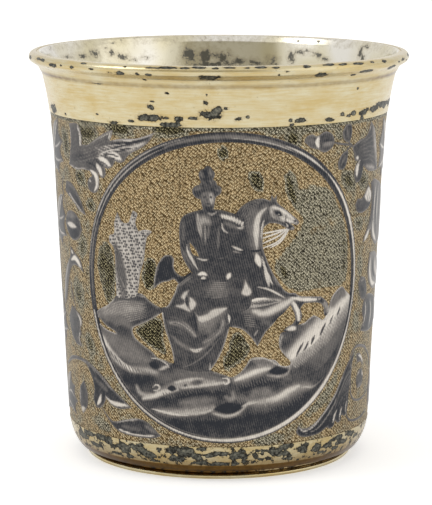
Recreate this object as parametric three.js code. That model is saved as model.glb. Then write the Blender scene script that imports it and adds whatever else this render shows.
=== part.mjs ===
// Niello silver cup: a raised, gilt silver beaker with a lip moulding and a foot ring soldered on.
// Between two plain bands its wall is sunk and punched, and dark niello figures are let into it:
// a framed rider at the front and the back, with scrolling leaves between the two frames.
// Millimetres, +Z up, origin on the table under the axis. The front faces -Y.

import * as THREE from "three";
import { TessellateModifier } from "three/addons/modifiers/TessellateModifier.js";
import { mergeVertices } from "three/addons/utils/BufferGeometryUtils.js";

// Whole cup, and how finely its turned pieces are cut
const CUP_HEIGHT = 81.5;
const ROUND_SIDES = 60;
const BASE_STEPS = 3;
const FIELD_STEPS = 8;
const FLARE_STEPS = 3;
const MOUTH_STEPS = 2;
const BEAD_STEPS = 5;

// Wall, measured on its outside
const BASE_EDGE_RADIUS = 28.25;
const BASE_RADIUS = 30.6;
const BASE_ROUND_HEIGHT = 7.7;
const BASE_ROUND_DEGREES = 59;
const MOUTH_RADIUS = 34.1;
const MOUTH_FLARE = 2.5;
const FLARE_HEIGHT = 26.5;
const WALL_THICKNESS = 1.2;
const FLOOR_THICKNESS = 1.2;

// Plain bands above and below the punched field, and how deep the field is sunk
const UPPER_BAND_HEIGHT = 11.85;
const LOWER_BAND_HEIGHT = 5.45;
const FIELD_SINK = 0.4;

// Lip moulding round the mouth
const LIP_HEIGHT = 4.1;
const LIP_LAND = 0.2;
const LIP_BEAD_RADIUS = 1.1;
const LIP_UNDERCUT_DEGREES = 50;

// Foot ring under the base
const FOOT_HEIGHT = 1.85;
const FOOT_SETBACK = 1.4;
const FOOT_WIDTH = 2.2;
const FOOT_BEAD_HEIGHT = 0.95;
const FOOT_GROOVE_DEPTH = 0.6;
const FOOT_EDGE = 0.2;

// Fits
const SOLDER_GAP = 0.05;
const INLAY_SEAT_GAP = 0.2;
const FRAME_CLEARANCE = 0.45;
const LEAF_TO_FRAME = 0.95;
const LEAF_TO_BAND = 0.35;
const LEAF_TO_PANEL_MIDDLE = 1.9;

// Niello inlays
const INLAY_THICKNESS = 0.3;
const INLAY_LONGEST_EDGE = 5.5;
const INLAY_SPLITS = 20;
const OUTLINE_STEPS = 2;
const MEDALLION_MARGIN = 0.75;
const FRAME_WIDTH = 1.8;
const FRAME_SIDES = 44;
const STEM_WIDTH = 1.7;
const STEM_TIP_WIDTH = 0.6;
const STEM_SWAY = 0.5;
const STEM_WAVES = 2;
const STEM_STEPS = 12;
const STEM_MARGIN = 2.2;

const gilt = new THREE.MeshStandardMaterial({ color: 0xd9c58f, roughness: 0.3, metalness: 1 });
const niello = new THREE.MeshStandardMaterial({ color: 0x45464c, roughness: 0.45, metalness: 0.6 });

const cup = new THREE.Group();

// Heights and radii that follow from the sizes above
const baseBottom = FOOT_HEIGHT + SOLDER_GAP;
const baseTop = baseBottom + BASE_ROUND_HEIGHT;
const fieldBottom = baseBottom + LOWER_BAND_HEIGHT;
const fieldTop = CUP_HEIGHT - UPPER_BAND_HEIGHT;
const lipBottom = CUP_HEIGHT - LIP_HEIGHT;
const fieldMiddle = (fieldBottom + fieldTop) / 2;
const halfField = (fieldTop - fieldBottom) / 2;
const medallionRadius = halfField - MEDALLION_MARGIN;
const sceneRadius = medallionRadius - FRAME_WIDTH - FRAME_CLEARANCE;

const radians = THREE.MathUtils.degToRad;

function pointOnSection(radius, height) {
  return new THREE.Vector2(radius, height);
}

// Outside radius of the wall at a height: a rounded base, a straight taper and a flare to the mouth
function wallOutside(height) {
  const round = radians(BASE_ROUND_DEGREES);
  if (height < baseTop) {
    const angle = Math.asin(((baseTop - height) / BASE_ROUND_HEIGHT) * Math.sin(round));
    const share = (1 - Math.cos(angle)) / (1 - Math.cos(round));
    return THREE.MathUtils.lerp(BASE_RADIUS, BASE_EDGE_RADIUS, share);
  }
  const rise = (height - baseTop) / (CUP_HEIGHT - baseTop);
  const flare = Math.max(0, 1 - (CUP_HEIGHT - height) / FLARE_HEIGHT);
  return THREE.MathUtils.lerp(BASE_RADIUS, MOUTH_RADIUS, rise) + MOUTH_FLARE * flare ** 3;
}

const wrapRadius = wallOutside(fieldMiddle);
const panelMiddle = (Math.PI / 2) * wrapRadius;

// Points up the wall from one height to another, set in from its outside
function wallRun(from, to, steps, inset) {
  const run = [];
  for (let i = 0; i <= steps; i += 1) {
    const height = THREE.MathUtils.lerp(from, to, i / steps);
    run.push(pointOnSection(wallOutside(height) - inset, height));
  }
  return run;
}

function addMesh(name, geometry, material) {
  const mesh = new THREE.Mesh(geometry, material);
  mesh.name = name;
  cup.add(mesh);
}

// A turned piece from its section, spun round the upright axis
function addTurned(name, section) {
  const geometry = new THREE.LatheGeometry(section, ROUND_SIDES);
  geometry.rotateX(Math.PI / 2);
  addMesh(name, geometry, gilt);
}

function addBody() {
  const floor = baseBottom + FLOOR_THICKNESS;
  addTurned("beaker_body", [
    pointOnSection(0, baseBottom),
    ...wallRun(baseBottom, fieldBottom, BASE_STEPS, 0),
    ...wallRun(fieldBottom, fieldTop, FIELD_STEPS, FIELD_SINK),
    ...wallRun(fieldTop, lipBottom, FLARE_STEPS, 0),
    ...wallRun(lipBottom, CUP_HEIGHT, MOUTH_STEPS, 0).slice(1),
    ...wallRun(CUP_HEIGHT, fieldTop, FLARE_STEPS, WALL_THICKNESS),
    ...wallRun(fieldTop, baseTop, FLARE_STEPS, WALL_THICKNESS).slice(1),
    ...wallRun(baseTop, floor, BASE_STEPS, WALL_THICKNESS).slice(1),
    pointOnSection(0, floor),
  ]);
}

// The lip moulding hugs the flared mouth: a sloped underside, a round bead and a narrow flat top
function addLip() {
  const beadMiddle = wallOutside(CUP_HEIGHT) + SOLDER_GAP + LIP_LAND;
  const undercut = radians(LIP_UNDERCUT_DEGREES);
  const bead = new THREE.EllipseCurve(
    beadMiddle, CUP_HEIGHT - LIP_BEAD_RADIUS, LIP_BEAD_RADIUS, LIP_BEAD_RADIUS,
    -undercut, Math.PI / 2,
  );
  const section = [
    ...wallRun(CUP_HEIGHT, lipBottom, MOUTH_STEPS, -SOLDER_GAP),
    ...bead.getPoints(BEAD_STEPS),
  ];
  addTurned("lip_ring", [...section, section[0].clone()]);
}

// The foot ring: a bead on the table, a hollow above it and a flat top under the base
function addFoot() {
  const outside = BASE_EDGE_RADIUS - FOOT_SETBACK;
  const inside = outside - FOOT_WIDTH;
  const hollow = outside - FOOT_GROOVE_DEPTH;
  const hollowMiddle = (FOOT_BEAD_HEIGHT + FOOT_HEIGHT) / 2;
  const section = [
    pointOnSection(inside, 0),
    pointOnSection(outside - FOOT_EDGE, 0),
    pointOnSection(outside, FOOT_EDGE),
    pointOnSection(outside, FOOT_BEAD_HEIGHT - FOOT_EDGE),
    pointOnSection(outside - FOOT_EDGE, FOOT_BEAD_HEIGHT),
    pointOnSection(hollow, hollowMiddle),
    pointOnSection(outside - FOOT_EDGE, FOOT_HEIGHT),
    pointOnSection(inside, FOOT_HEIGHT),
  ];
  addTurned("foot_ring", [...section, section[0].clone()]);
}

// An outline from its runs. Each run is a smooth curve through its points that starts where the last
// run ended, so the runs meet in corners
function outline(runs) {
  const points = [];
  let last = null;
  for (const run of runs) {
    const through = run.map(([x, y]) => new THREE.Vector2(x, y));
    if (last) {
      through.unshift(last);
    }
    const curve = new THREE.SplineCurve(through);
    const steps = through.length > 2 ? (through.length - 1) * OUTLINE_STEPS : 1;
    const drawn = curve.getPoints(steps);
    points.push(...(last ? drawn.slice(1) : drawn));
    last = through[through.length - 1];
  }
  return points;
}

// The flat field, rolled round the wall: x along the wall from the middle of a side, y up, lift outwards
function rollOn(flat, middleAngle) {
  const place = flat.getAttribute("position");
  for (let i = 0; i < place.count; i += 1) {
    const angle = middleAngle + place.getX(i) / wrapRadius;
    const height = fieldMiddle + place.getY(i);
    const radius = wallOutside(height) - FIELD_SINK + INLAY_SEAT_GAP + place.getZ(i);
    place.setXYZ(i, radius * Math.sin(angle), -radius * Math.cos(angle), height);
  }
  return mergeVertices(flat);
}

function addInlay(name, shape, middleAngle) {
  const flat = new THREE.ExtrudeGeometry(shape, { depth: INLAY_THICKNESS, bevelEnabled: false });
  flat.deleteAttribute("normal");
  flat.deleteAttribute("uv");
  const fine = new TessellateModifier(INLAY_LONGEST_EDGE, INLAY_SPLITS).modify(flat);
  addMesh(name, rollOn(fine, middleAngle), niello);
}

// Half the width of the medallion at a height above or below its middle
function chord(radius, y) {
  return Math.sqrt(Math.max(0, radius ** 2 - y ** 2));
}

// A figure point keeps its place inside the frame: the drawn skyline starts on the drawn frame
function fitFigure(point) {
  const [[[startX, startY]]] = HILL_SKYLINE;
  return point.clone().multiplyScalar(sceneRadius / Math.hypot(startX, startY));
}

// The space that the leaves were drawn to fill, read from the drawings and the named clearances
function drawnSpace() {
  const points = [RIGHT_LEAVES, LEFT_LEAVES].flatMap((leaves) => Object.values(leaves)).flat(2);
  return {
    medallion: Math.min(...points.map(([x, y]) => Math.hypot(x, y))) - LEAF_TO_FRAME,
    halfField: Math.max(...points.map(([, y]) => Math.abs(y))) + LEAF_TO_BAND,
    panelMiddle: Math.max(...points.map(([x]) => x)) + LEAF_TO_PANEL_MIDDLE,
  };
}

// A leaf point keeps its share of the way from the medallion's edge to the middle of the leaf panel
function fitLeaf(point, drawn) {
  const y = (point.y * halfField) / drawn.halfField;
  const drawnEdge = chord(drawn.medallion, point.y);
  const share = (point.x - drawnEdge) / (drawn.panelMiddle - drawnEdge);
  return new THREE.Vector2(THREE.MathUtils.lerp(chord(medallionRadius, y), panelMiddle, share), y);
}

// Figures of the medallion, from its middle
const FIGURES = {
  rider: [
    [[-4.7, 14.7], [-4.4, 15.8], [-5.8, 17.6], [-6.0, 19.2], [-4.6, 20.6]],
    [[-4.9, 22.2], [-3.6, 23.4], [-2.3, 22.7], [-2.2, 21.3]],
    [[-1.2, 20.3], [-0.9, 18.6], [-1.4, 16.6], [-1.7, 15.2]],
    [[0.6, 14.5], [2.5, 13.6], [3.1, 11.8], [2.9, 8.0], [3.1, 5.0], [3.3, 2.7]],
    [[-1.0, 2.4], [-5.0, 2.7]],
    [[-7.2, 4.6], [-8.8, 7.0], [-9.0, 10.0], [-8.7, 12.8], [-7.2, 14.4], [-4.7, 14.7]],
  ],
  robe: [
    [[-5.0, 2.2], [-1.0, 1.9], [3.5, 2.1]],
    [[4.4, 0.8], [5.2, -1.4], [4.0, -4.0], [1.2, -6.4]],
    [[0.2, -9.6], [-1.2, -13.0], [-3.0, -15.2]],
    [[-6.4, -15.0], [-9.8, -14.6]],
    [[-11.2, -10.4], [-12.2, -5.6], [-10.4, -2.0], [-8.2, 0.6], [-5.0, 2.2]],
  ],
  horse_forehand: [
    [[3.9, 13.9], [5.0, 16.2], [7.0, 17.1], [8.5, 16.8]],
    [[9.2, 18.2]],
    [[10.0, 16.6], [11.4, 15.2], [13.4, 13.2], [14.3, 12.2], [13.9, 11.5], [12.4, 11.6]],
    [[10.4, 12.7], [8.0, 12.9]],
    [[7.1, 11.0], [7.0, 8.0], [7.6, 5.2], [9.0, 2.2], [11.4, -1.0]],
    [[13.8, -1.7], [17.4, -2.4], [19.4, -2.8], [20.9, -4.2], [21.0, -5.4]],
    [[19.9, -5.2], [19.0, -4.0], [14.6, -3.2]],
    [[15.5, -5.0], [15.2, -6.8], [14.0, -7.6], [12.2, -7.8]],
    [[13.0, -6.6], [13.9, -5.6], [12.6, -4.2], [9.4, -5.6], [7.0, -4.8], [5.3, -3.4]],
    [[5.8, -1.2], [4.9, 1.2], [3.9, 3.4], [3.5, 8.0], [3.7, 11.8], [3.9, 13.9]],
  ],
  horse_haunch: [
    [[1.5, -7.0], [4.4, -5.4], [6.6, -5.9], [8.9, -6.4]],
    [[8.0, -8.6], [6.8, -11.6]],
    [[5.2, -9.4], [3.2, -8.0], [1.5, -7.0]],
  ],
  horse_tail: [
    [[-14.0, 0.0], [-13.5, 3.4], [-11.9, 5.7], [-10.4, 6.2]],
    [[-9.8, 4.6], [-8.9, 2.8], [-9.4, 0.8]],
    [[-10.8, 1.6], [-12.2, 0.4], [-14.0, 0.0]],
  ],
  shrub: [
    [[-22.2, -2.4], [-22.0, 2.4], [-22.7, 6.6], [-23.4, 9.6]],
    [[-21.6, 10.4], [-21.4, 14.0]],
    [[-19.6, 11.6], [-18.2, 14.8]],
    [[-17.2, 11.2], [-14.8, 11.2]],
    [[-16.0, 7.2], [-15.0, 4.2]],
    [[-16.6, 1.2], [-15.8, -1.6]],
    [[-18.8, -2.5], [-22.2, -2.4]],
  ],
};

// The hills' skyline from the left of the frame to its right. The frame's circle closes them below
const HILL_SKYLINE = [
  [[-27.6, -6.4], [-25.2, -4.4], [-21.2, -3.2], [-16.2, -3.1], [-13.4, -5.4]],
  [[-18.4, -8.8], [-17.4, -10.4], [-14.2, -13.2], [-11.2, -15.6]],
  [[-8.0, -16.4], [-3.6, -16.6], [-1.0, -17.2], [1.8, -16.4], [4.8, -14.2], [8.8, -13.8], [13.4, -15.0]],
  [[11.2, -12.0], [11.3, -9.8], [13.2, -8.9], [16.8, -8.1]],
  [[19.4, -6.9], [22.0, -4.6], [24.2, -2.4], [26.2, -1.8], [28.1, -3.0]],
];

// Leaves beside the medallion on its right, from the medallion's middle
const RIGHT_LEAVES = {
  bud: [
    [[14.8, 28.1], [15.3, 29.0], [16.6, 29.3], [17.8, 29.2], [19.6, 29.7], [21.3, 28.8],
      [21.8, 27.5], [21.2, 26.3], [19.5, 25.6], [17.8, 26.3], [16.5, 26.7], [14.8, 28.1]],
  ],
  upper_leaflet: [
    [[26.0, 26.9], [24.4, 27.6], [23.9, 29.2], [24.8, 30.6]],
    [[26.2, 30.2], [26.5, 28.6], [26.0, 26.9]],
  ],
  lower_leaflet: [
    [[25.6, 25.3], [24.2, 24.8], [23.2, 23.2], [23.6, 21.9]],
    [[25.0, 22.1], [25.8, 23.6], [25.6, 25.3]],
  ],
  acanthus: [
    [[26.9, 26.2], [29.8, 27.6], [32.4, 30.2]],
    [[34.0, 27.9], [36.9, 24.2], [39.4, 18.8]],
    [[36.2, 20.5], [32.9, 21.2], [31.0, 22.6]],
    [[30.3, 21.4], [29.0, 19.4]],
    [[28.3, 22.2], [28.3, 24.2], [26.9, 26.2]],
  ],
  side_bud: [
    [[29.2, 14.6], [30.2, 15.5], [32.0, 15.7], [34.2, 16.9]],
    [[35.7, 15.4], [35.4, 13.8], [33.6, 12.9], [31.4, 12.5], [29.8, 13.2], [29.2, 14.6]],
  ],
  tall_leaf: [
    [[39.5, 18.0], [36.8, 14.6], [36.2, 10.6], [37.8, 7.2], [42.6, 5.0], [48.4, 4.8]],
    [[46.9, 8.4], [44.7, 12.4], [42.3, 15.8], [39.5, 18.0]],
  ],
  wide_leaf: [
    [[37.0, 3.9], [36.3, 0.6], [37.6, -2.4], [41.5, -4.2], [47.8, -3.6]],
    [[45.6, 0.2], [42.0, 3.2], [37.0, 3.9]],
  ],
  small_leaf: [
    [[31.9, -3.2], [32.6, -1.6], [34.4, -1.5], [35.4, -3.2]],
    [[34.0, -4.5], [32.4, -4.3], [31.9, -3.2]],
  ],
  foot_leaf: [
    [[32.2, -15.3], [29.8, -16.8], [27.4, -19.8], [25.0, -23.2], [21.8, -26.4], [18.6, -28.6],
      [16.4, -29.0], [15.4, -28.0]],
    [[15.0, -29.6], [17.0, -30.8], [20.6, -30.6], [23.4, -29.4]],
    [[24.8, -30.6], [26.4, -30.0], [27.2, -28.2]],
    [[29.2, -29.4], [31.6, -28.8], [32.2, -26.8]],
    [[30.6, -23.6], [30.8, -19.0], [32.2, -15.3]],
  ],
  scroll_bud: [
    [[34.0, -23.2], [33.3, -21.4], [34.4, -19.6], [36.0, -19.6], [36.9, -21.2], [36.2, -23.0],
      [34.0, -23.2]],
  ],
};

// Leaves beside the medallion on its left, drawn as if on its right and then mirrored
const LEFT_LEAVES = {
  acanthus: [
    [[33.8, 29.9], [31.2, 29.9]],
    [[30.6, 27.6], [30.2, 25.8]],
    [[26.4, 26.9], [22.4, 29.2]],
    [[22.9, 27.8], [19.2, 28.2], [13.6, 29.9]],
    [[15.8, 27.8], [17.8, 26.6]],
    [[19.6, 24.5], [21.6, 24.3]],
    [[22.6, 22.4], [24.1, 22.6]],
    [[25.0, 20.4], [26.2, 21.6]],
    [[26.5, 19.4], [27.2, 17.6], [28.8, 17.8]],
    [[27.9, 20.4], [29.2, 21.8], [32.2, 21.6], [35.4, 21.8]],
    [[34.4, 25.4], [33.8, 29.9]],
  ],
  slanted_leaf: [
    [[37.6, 18.4], [35.0, 17.6], [32.4, 15.2], [30.6, 12.6]],
    [[32.9, 13.2], [35.4, 14.6], [37.9, 16.4], [37.6, 18.4]],
  ],
  bud: [
    [[32.2, 9.4], [33.8, 7.4], [36.5, 7.0], [38.6, 8.3], [39.4, 10.3], [38.0, 12.2], [35.4, 12.3],
      [33.2, 11.3], [32.2, 9.4]],
  ],
  scroll: [
    [[32.4, 0.9], [33.6, 3.0], [35.6, 4.1], [37.6, 5.2]],
    [[38.2, 3.2], [40.4, 1.2], [42.6, -2.4], [43.8, -7.4]],
    [[41.8, -5.6], [40.0, -2.0], [38.4, 0.6], [36.4, 2.0], [34.4, 1.8], [32.4, 0.9]],
  ],
  side_leaf: [
    [[38.6, -6.6], [36.6, -7.2], [34.6, -8.6]],
    [[35.6, -10.0], [34.6, -11.8]],
    [[35.6, -12.8], [34.8, -14.6]],
    [[37.2, -14.2], [39.6, -12.4], [40.6, -9.4], [38.6, -6.6]],
  ],
  foot_scroll: [
    [[46.4, -20.4], [42.0, -17.8], [37.2, -16.8], [32.2, -17.3], [28.6, -19.1], [24.6, -22.0],
      [20.2, -24.9]],
    [[23.4, -25.2], [26.6, -23.9]],
    [[27.4, -25.2], [28.9, -26.0]],
    [[30.4, -24.6], [30.3, -22.4], [31.2, -20.4], [33.4, -18.8], [37.4, -18.4], [41.8, -19.3],
      [46.4, -20.4]],
  ],
  foot_leaf: [
    [[27.2, -28.0], [24.2, -27.6], [21.2, -26.9], [18.4, -26.6], [15.8, -27.9], [13.4, -30.0]],
    [[16.4, -30.7], [20.4, -30.8], [24.2, -30.0], [27.2, -28.0]],
  ],
  inner_leaf: [
    [[34.6, -21.2], [33.3, -23.6], [33.7, -26.4], [35.8, -28.2]],
    [[37.1, -25.8], [36.7, -23.0], [34.6, -21.2]],
  ],
};

function circle(radius) {
  return new THREE.EllipseCurve(0, 0, radius, radius).getPoints(FRAME_SIDES).slice(1);
}

// The hills fill the frame from their skyline down to its circle
function hillShape() {
  const skyline = outline(HILL_SKYLINE).map(fitFigure);
  const first = skyline[0].setLength(sceneRadius);
  const last = skyline[skyline.length - 1].setLength(sceneRadius);
  const below = new THREE.EllipseCurve(0, 0, sceneRadius, sceneRadius, last.angle(), first.angle(), true);
  return new THREE.Shape([...skyline, ...below.getPoints(FRAME_SIDES / 2).slice(1, -1)]);
}

function addMedallion(side, middleAngle) {
  const ring = new THREE.Shape(circle(medallionRadius));
  ring.holes.push(new THREE.Path(circle(medallionRadius - FRAME_WIDTH)));
  addInlay(`${side}_frame`, ring, middleAngle);
  for (const [name, runs] of Object.entries(FIGURES)) {
    addInlay(`${side}_${name}`, new THREE.Shape(outline(runs).map(fitFigure)), middleAngle);
  }
  addInlay(`${side}_hills`, hillShape(), middleAngle);
}

// The leaves of one half panel. A mirrored half is drawn to the medallion's left
function addLeaves(prefix, leaves, middleAngle, mirror) {
  const drawn = drawnSpace();
  for (const [name, runs] of Object.entries(leaves)) {
    const points = outline(runs).map((point) => fitLeaf(point, drawn));
    const shape = new THREE.Shape(points.map((p) => new THREE.Vector2(mirror * p.x, p.y)));
    addInlay(`${prefix}_${name}`, shape, middleAngle);
  }
}

// The swaying stem up the middle of a leaf panel
function addStem(name, middleAngle) {
  const reach = halfField - STEM_MARGIN;
  const left = [];
  const right = [];
  for (let i = 0; i <= STEM_STEPS; i += 1) {
    const along = i / STEM_STEPS;
    const middle = STEM_SWAY * Math.sin(2 * Math.PI * STEM_WAVES * along);
    const half = THREE.MathUtils.lerp(STEM_TIP_WIDTH, STEM_WIDTH, Math.sin(Math.PI * along)) / 2;
    const y = THREE.MathUtils.lerp(-reach, reach, along);
    left.push(new THREE.Vector2(middle - half, y));
    right.unshift(new THREE.Vector2(middle + half, y));
  }
  addInlay(name, new THREE.Shape([...right, ...left]), middleAngle);
}

addBody();
addLip();
addFoot();
for (const [side, middleAngle, mirror] of [["front", 0, 1], ["back", Math.PI, -1]]) {
  addMedallion(side, middleAngle);
  addLeaves(`${side}_right`, RIGHT_LEAVES, middleAngle, mirror);
  addLeaves(`${side}_left`, LEFT_LEAVES, middleAngle, -mirror);
}
addStem("right_stem", Math.PI / 2);
addStem("left_stem", -Math.PI / 2);

export default cup;
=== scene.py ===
"""Niello silver cup: the looks of a gilt silver beaker with niello figures, as a Blender add-on.

Drawings are in millimetres on the unrolled wall: along the wall to the right, then up from the table.
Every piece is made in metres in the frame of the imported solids, with the front facing -Y.
"""

import math

import bpy
import numpy as np
from bpy.props import FloatProperty, FloatVectorProperty, IntProperty, PointerProperty
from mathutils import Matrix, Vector
from mathutils.geometry import delaunay_2d_cdt
from mathutils.kdtree import KDTree


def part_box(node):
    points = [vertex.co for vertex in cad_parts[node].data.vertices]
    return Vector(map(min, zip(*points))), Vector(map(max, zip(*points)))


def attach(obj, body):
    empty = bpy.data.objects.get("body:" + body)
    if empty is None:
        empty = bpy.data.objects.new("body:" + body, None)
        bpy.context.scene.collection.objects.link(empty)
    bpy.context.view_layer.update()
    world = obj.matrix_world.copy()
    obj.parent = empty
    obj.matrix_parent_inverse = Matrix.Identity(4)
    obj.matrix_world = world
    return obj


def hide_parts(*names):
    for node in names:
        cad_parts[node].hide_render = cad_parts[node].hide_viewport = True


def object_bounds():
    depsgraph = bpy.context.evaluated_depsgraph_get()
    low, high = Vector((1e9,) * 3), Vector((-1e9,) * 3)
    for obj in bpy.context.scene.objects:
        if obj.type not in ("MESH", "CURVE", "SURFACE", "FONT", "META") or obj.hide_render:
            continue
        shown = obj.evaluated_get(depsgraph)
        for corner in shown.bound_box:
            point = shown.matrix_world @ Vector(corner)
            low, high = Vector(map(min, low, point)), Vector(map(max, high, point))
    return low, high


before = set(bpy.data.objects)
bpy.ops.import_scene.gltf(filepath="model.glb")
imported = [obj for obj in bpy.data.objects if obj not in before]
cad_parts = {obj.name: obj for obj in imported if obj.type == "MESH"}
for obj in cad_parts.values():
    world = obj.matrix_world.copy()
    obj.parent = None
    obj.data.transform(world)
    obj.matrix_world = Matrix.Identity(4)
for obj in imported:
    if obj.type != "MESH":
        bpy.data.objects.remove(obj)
CAD_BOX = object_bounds()

bl_info = {
    "name": "Niello silver cup",
    "version": (1, 0, 0),
    "blender": (4, 5, 0),
    "location": "View3D > Sidebar > Cup",
    "description": "Builds a gilt silver beaker with a niello rider in a round frame among leaves",
    "category": "Add Mesh",
}

MM = 0.001

# Heights and radii that the frame gives, in millimetres
CUP_HEIGHT = CAD_BOX[1][2] / MM
LIP_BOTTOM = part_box("lip_ring")[0][2] / MM
LIP_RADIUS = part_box("lip_ring")[1][0] / MM
FOOT_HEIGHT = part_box("foot_ring")[1][2] / MM
FOOT_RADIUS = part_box("foot_ring")[1][0] / MM
BODY_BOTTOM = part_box("beaker_body")[0][2] / MM

# The wall's outside: a rounded base, a straight taper and a flare to the mouth
BASE_FLAT_RADIUS = 27.6
BASE_EDGE_RADIUS = 28.25
BASE_RADIUS = 30.6
BASE_ROUND = 7.7
BASE_ROUND_ANGLE = math.radians(59)
BASE_TOP = BODY_BOTTOM + BASE_ROUND
MOUTH_RADIUS = 34.1
MOUTH_FLARE = 2.5
FLARE_HEIGHT = 26.5
WALL = 1.2
INSIDE_RADIUS = 34

# The punched field between the plain bands, and the medallion in it
FIELD_BOTTOM = BODY_BOTTOM + 5.45
FIELD_TOP = CUP_HEIGHT - 11.85
FIELD_STEP = 0.06
MEDALLION_RADIUS = 30.4
FRAME_INNER_RADIUS = 28.85
FRAME_DROP = 0.45
MIDDLE = np.array((1.25, 38.5))
WRAP_RADIUS = 31.98
PANEL_MIDDLE = WRAP_RADIUS * math.pi / 2

# How finely drawings are followed, in millimetres
MARK_STEP = 0.5
BEAD_STEP = 0.04
LEAST_BLUR = 0.16
MERGE_GAP = 0.005
TURNED_CREASE = math.radians(35)
INLAY_CREASE = math.radians(50)

# The sheet map's units to a metre, which make it a map in decimetres
SHEET_UNITS = 10

# Niello goes this far below the field, on a coarse underside
INLAY_ROOT = 0.1
UNDER_SPACING = 2.0
UNDER_MARGIN = 0.8

# Its pale rim, polished silver with a painted highlight where the rounded edge catches light, reaches in
# by so many rounded edges, and fades out this near to a piece beside it
RIM_REACH = 1.5
BESIDE_GAP = 0.3
BESIDE_FADE = 0.4

# Dots cut into pale niello: their stray as a share of the pitch, their blur, and the tones they need
DOT_STRAY = 0.22
DOT_BLUR = 0.2
DOT_LEAST_TONE = 0.4
DOT_TONE_FADE = 0.2

# The camera in the photograph's frame, which stands a little left of the medallion's middle
CAMERA_SIDE = -0.557
CAMERA_BACK = 501.35
CAMERA_HEIGHT = 124.49
CAMERA_PITCH = math.radians(9.53)
CAMERA_TURN = math.radians(-2.24)
CAMERA_LENS = 178.79
CAMERA_SENSOR = 36

# Plain studio in metres: floor, grey card, how strongly floor and world glow, and lamps by name, place,
# size and power
FLOOR_SIZE = 8
CARD_SIZE = (2.4, 1, 1)
CARD_PLACE = (-0.45, -1.6, 1)
FLOOR_GLOW = 0.46
FLOOR_GLOW_IN_METAL = 0.36
WORLD_LIGHT = 0.75
LAMP_TARGET = Vector((0, 0, 0.04))
LAMPS = (
    ("key_softbox", (-0.74, -0.22, 0.74), 0.5, 1.6),
    ("fill_softbox", (0.75, -0.35, 0.45), 0.9, 0.7),
)


def linear(code):
    """Turn an sRGB hex colour into linear red, green and blue."""
    parts = [int(code[i:i + 2], 16) / 255 for i in (1, 3, 5)]
    return [c / 12.92 if c <= 0.04045 else ((c + 0.055) / 1.055) ** 2.4 for c in parts]


def colour_property(name, code, description):
    return FloatVectorProperty(
        name=name, description=description, default=linear(code), subtype="COLOR", min=0, max=1)


def length_property(name, millimetres, description):
    return FloatProperty(
        name=name, description=description, default=millimetres * MM, unit="LENGTH", subtype="DISTANCE")


class CupSizes(bpy.types.PropertyGroup):
    """Sizes of the finish that a user may change."""

    sides: IntProperty(
        name="Sides", description="Segments round the turned pieces", default=360, min=60)
    field_sink: length_property(
        "Field sink", 0.12, "How far the punched field lies below the plain bands")
    inlay_lift: length_property("Inlay lift", 0, "How far the niello stands above the plain bands")
    inlay_edge: length_property("Inlay edge", 0.2, "Rounding of the niello's edges")
    line_relief: length_property(
        "Line relief", 0.012, "How far the bright silver lines rise out of the niello")
    figure_grain: length_property(
        "Figure grain", 0.23, "Spacing of the points that carry the figures' shading")
    leaf_grain: length_property(
        "Leaf grain", 0.28, "Spacing of the points that carry the leaves' shading")
    punch_pitch: length_property("Punch pitch", 0.4, "Distance between two punch marks of the field")


class CupColours(bpy.types.PropertyGroup):
    """Colours of the metals that a user may change."""

    gilt: colour_property("Gilt", "#c4af7c", "Burnished gilding of the plain bands")
    worn: colour_property("Worn gilt", "#cfc6a7", "Gilding worn down to the silver")
    inside: colour_property("Inside", "#dedad0", "Silver inside the cup")
    # The dirt line colour is also the colour of painted shade under the lip, over the foot and in its
    # hollow
    dirt_and_shade: colour_property("Dirt line", "#6c5028", "Brown dirt in the hollows")
    tarnish: colour_property("Tarnish", "#62625a", "Grey spots where the gilding is lost")
    # The punched gilt and greyed field colours are painted highlights: a bright point on each grain, on
    # clean and on tarnished field
    punched: colour_property("Punched gilt", "#ecdcb4", "High points of the punched field")
    punch: colour_property("Punch marks", "#463722", "Low points of the punched field")
    soot: colour_property("Blackened field", "#211e18", "Low points where the field is tarnished")
    tarnished_grain_highlight: colour_property("Greyed field", "#e0d9c2", "High points where the field is tarnished")
    niello: colour_property("Niello", "#323439", "Darkest niello")
    niello_mid: colour_property("Half tone", "#7d7874", "Niello hatched with silver lines")
    silver: colour_property("Silver lines", "#d5cec4", "Silver left bright in the niello")


def wall_outside(height):
    """Radius of the wall's outside at a height or an array of heights, in millimetres."""
    height = np.asarray(height, dtype=float)
    drop = np.clip((BASE_TOP - height) / BASE_ROUND, 0, 1) * math.sin(BASE_ROUND_ANGLE)
    share = (1 - np.sqrt(1 - drop ** 2)) / (1 - math.cos(BASE_ROUND_ANGLE))
    low = BASE_RADIUS + (BASE_EDGE_RADIUS - BASE_RADIUS) * share
    rise = (height - BASE_TOP) / (CUP_HEIGHT - BASE_TOP)
    flare = np.clip(1 - (CUP_HEIGHT - height) / FLARE_HEIGHT, 0, None)
    high = BASE_RADIUS + (MOUTH_RADIUS - BASE_RADIUS) * rise + MOUTH_FLARE * flare ** 3
    return np.where(height < BASE_TOP, low, high)


def smoothstep(value):
    value = np.clip(value, 0, 1)
    return value * value * (3 - 2 * value)


def curve_through(points, spacing):
    """Sample a smooth curve through points at about a spacing. Two points give a straight line."""
    points = np.asarray(points, dtype=float)
    padded = np.vstack((2 * points[0] - points[1], points, 2 * points[-1] - points[-2]))
    drawn = [points[:1]]
    for before, start, end, after in zip(padded, padded[1:], padded[2:], padded[3:]):
        steps = max(1, round(float(np.linalg.norm(end - start)) / spacing))
        t = (np.arange(1, steps + 1) / steps)[:, None]
        slope_in = (end - before) / 2
        slope_out = (after - start) / 2
        drawn.append(
            (2 * t ** 3 - 3 * t ** 2 + 1) * start + (t ** 3 - 2 * t ** 2 + t) * slope_in
            + (3 * t ** 2 - 2 * t ** 3) * end + (t ** 3 - t ** 2) * slope_out)
    return np.vstack(drawn)


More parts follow.
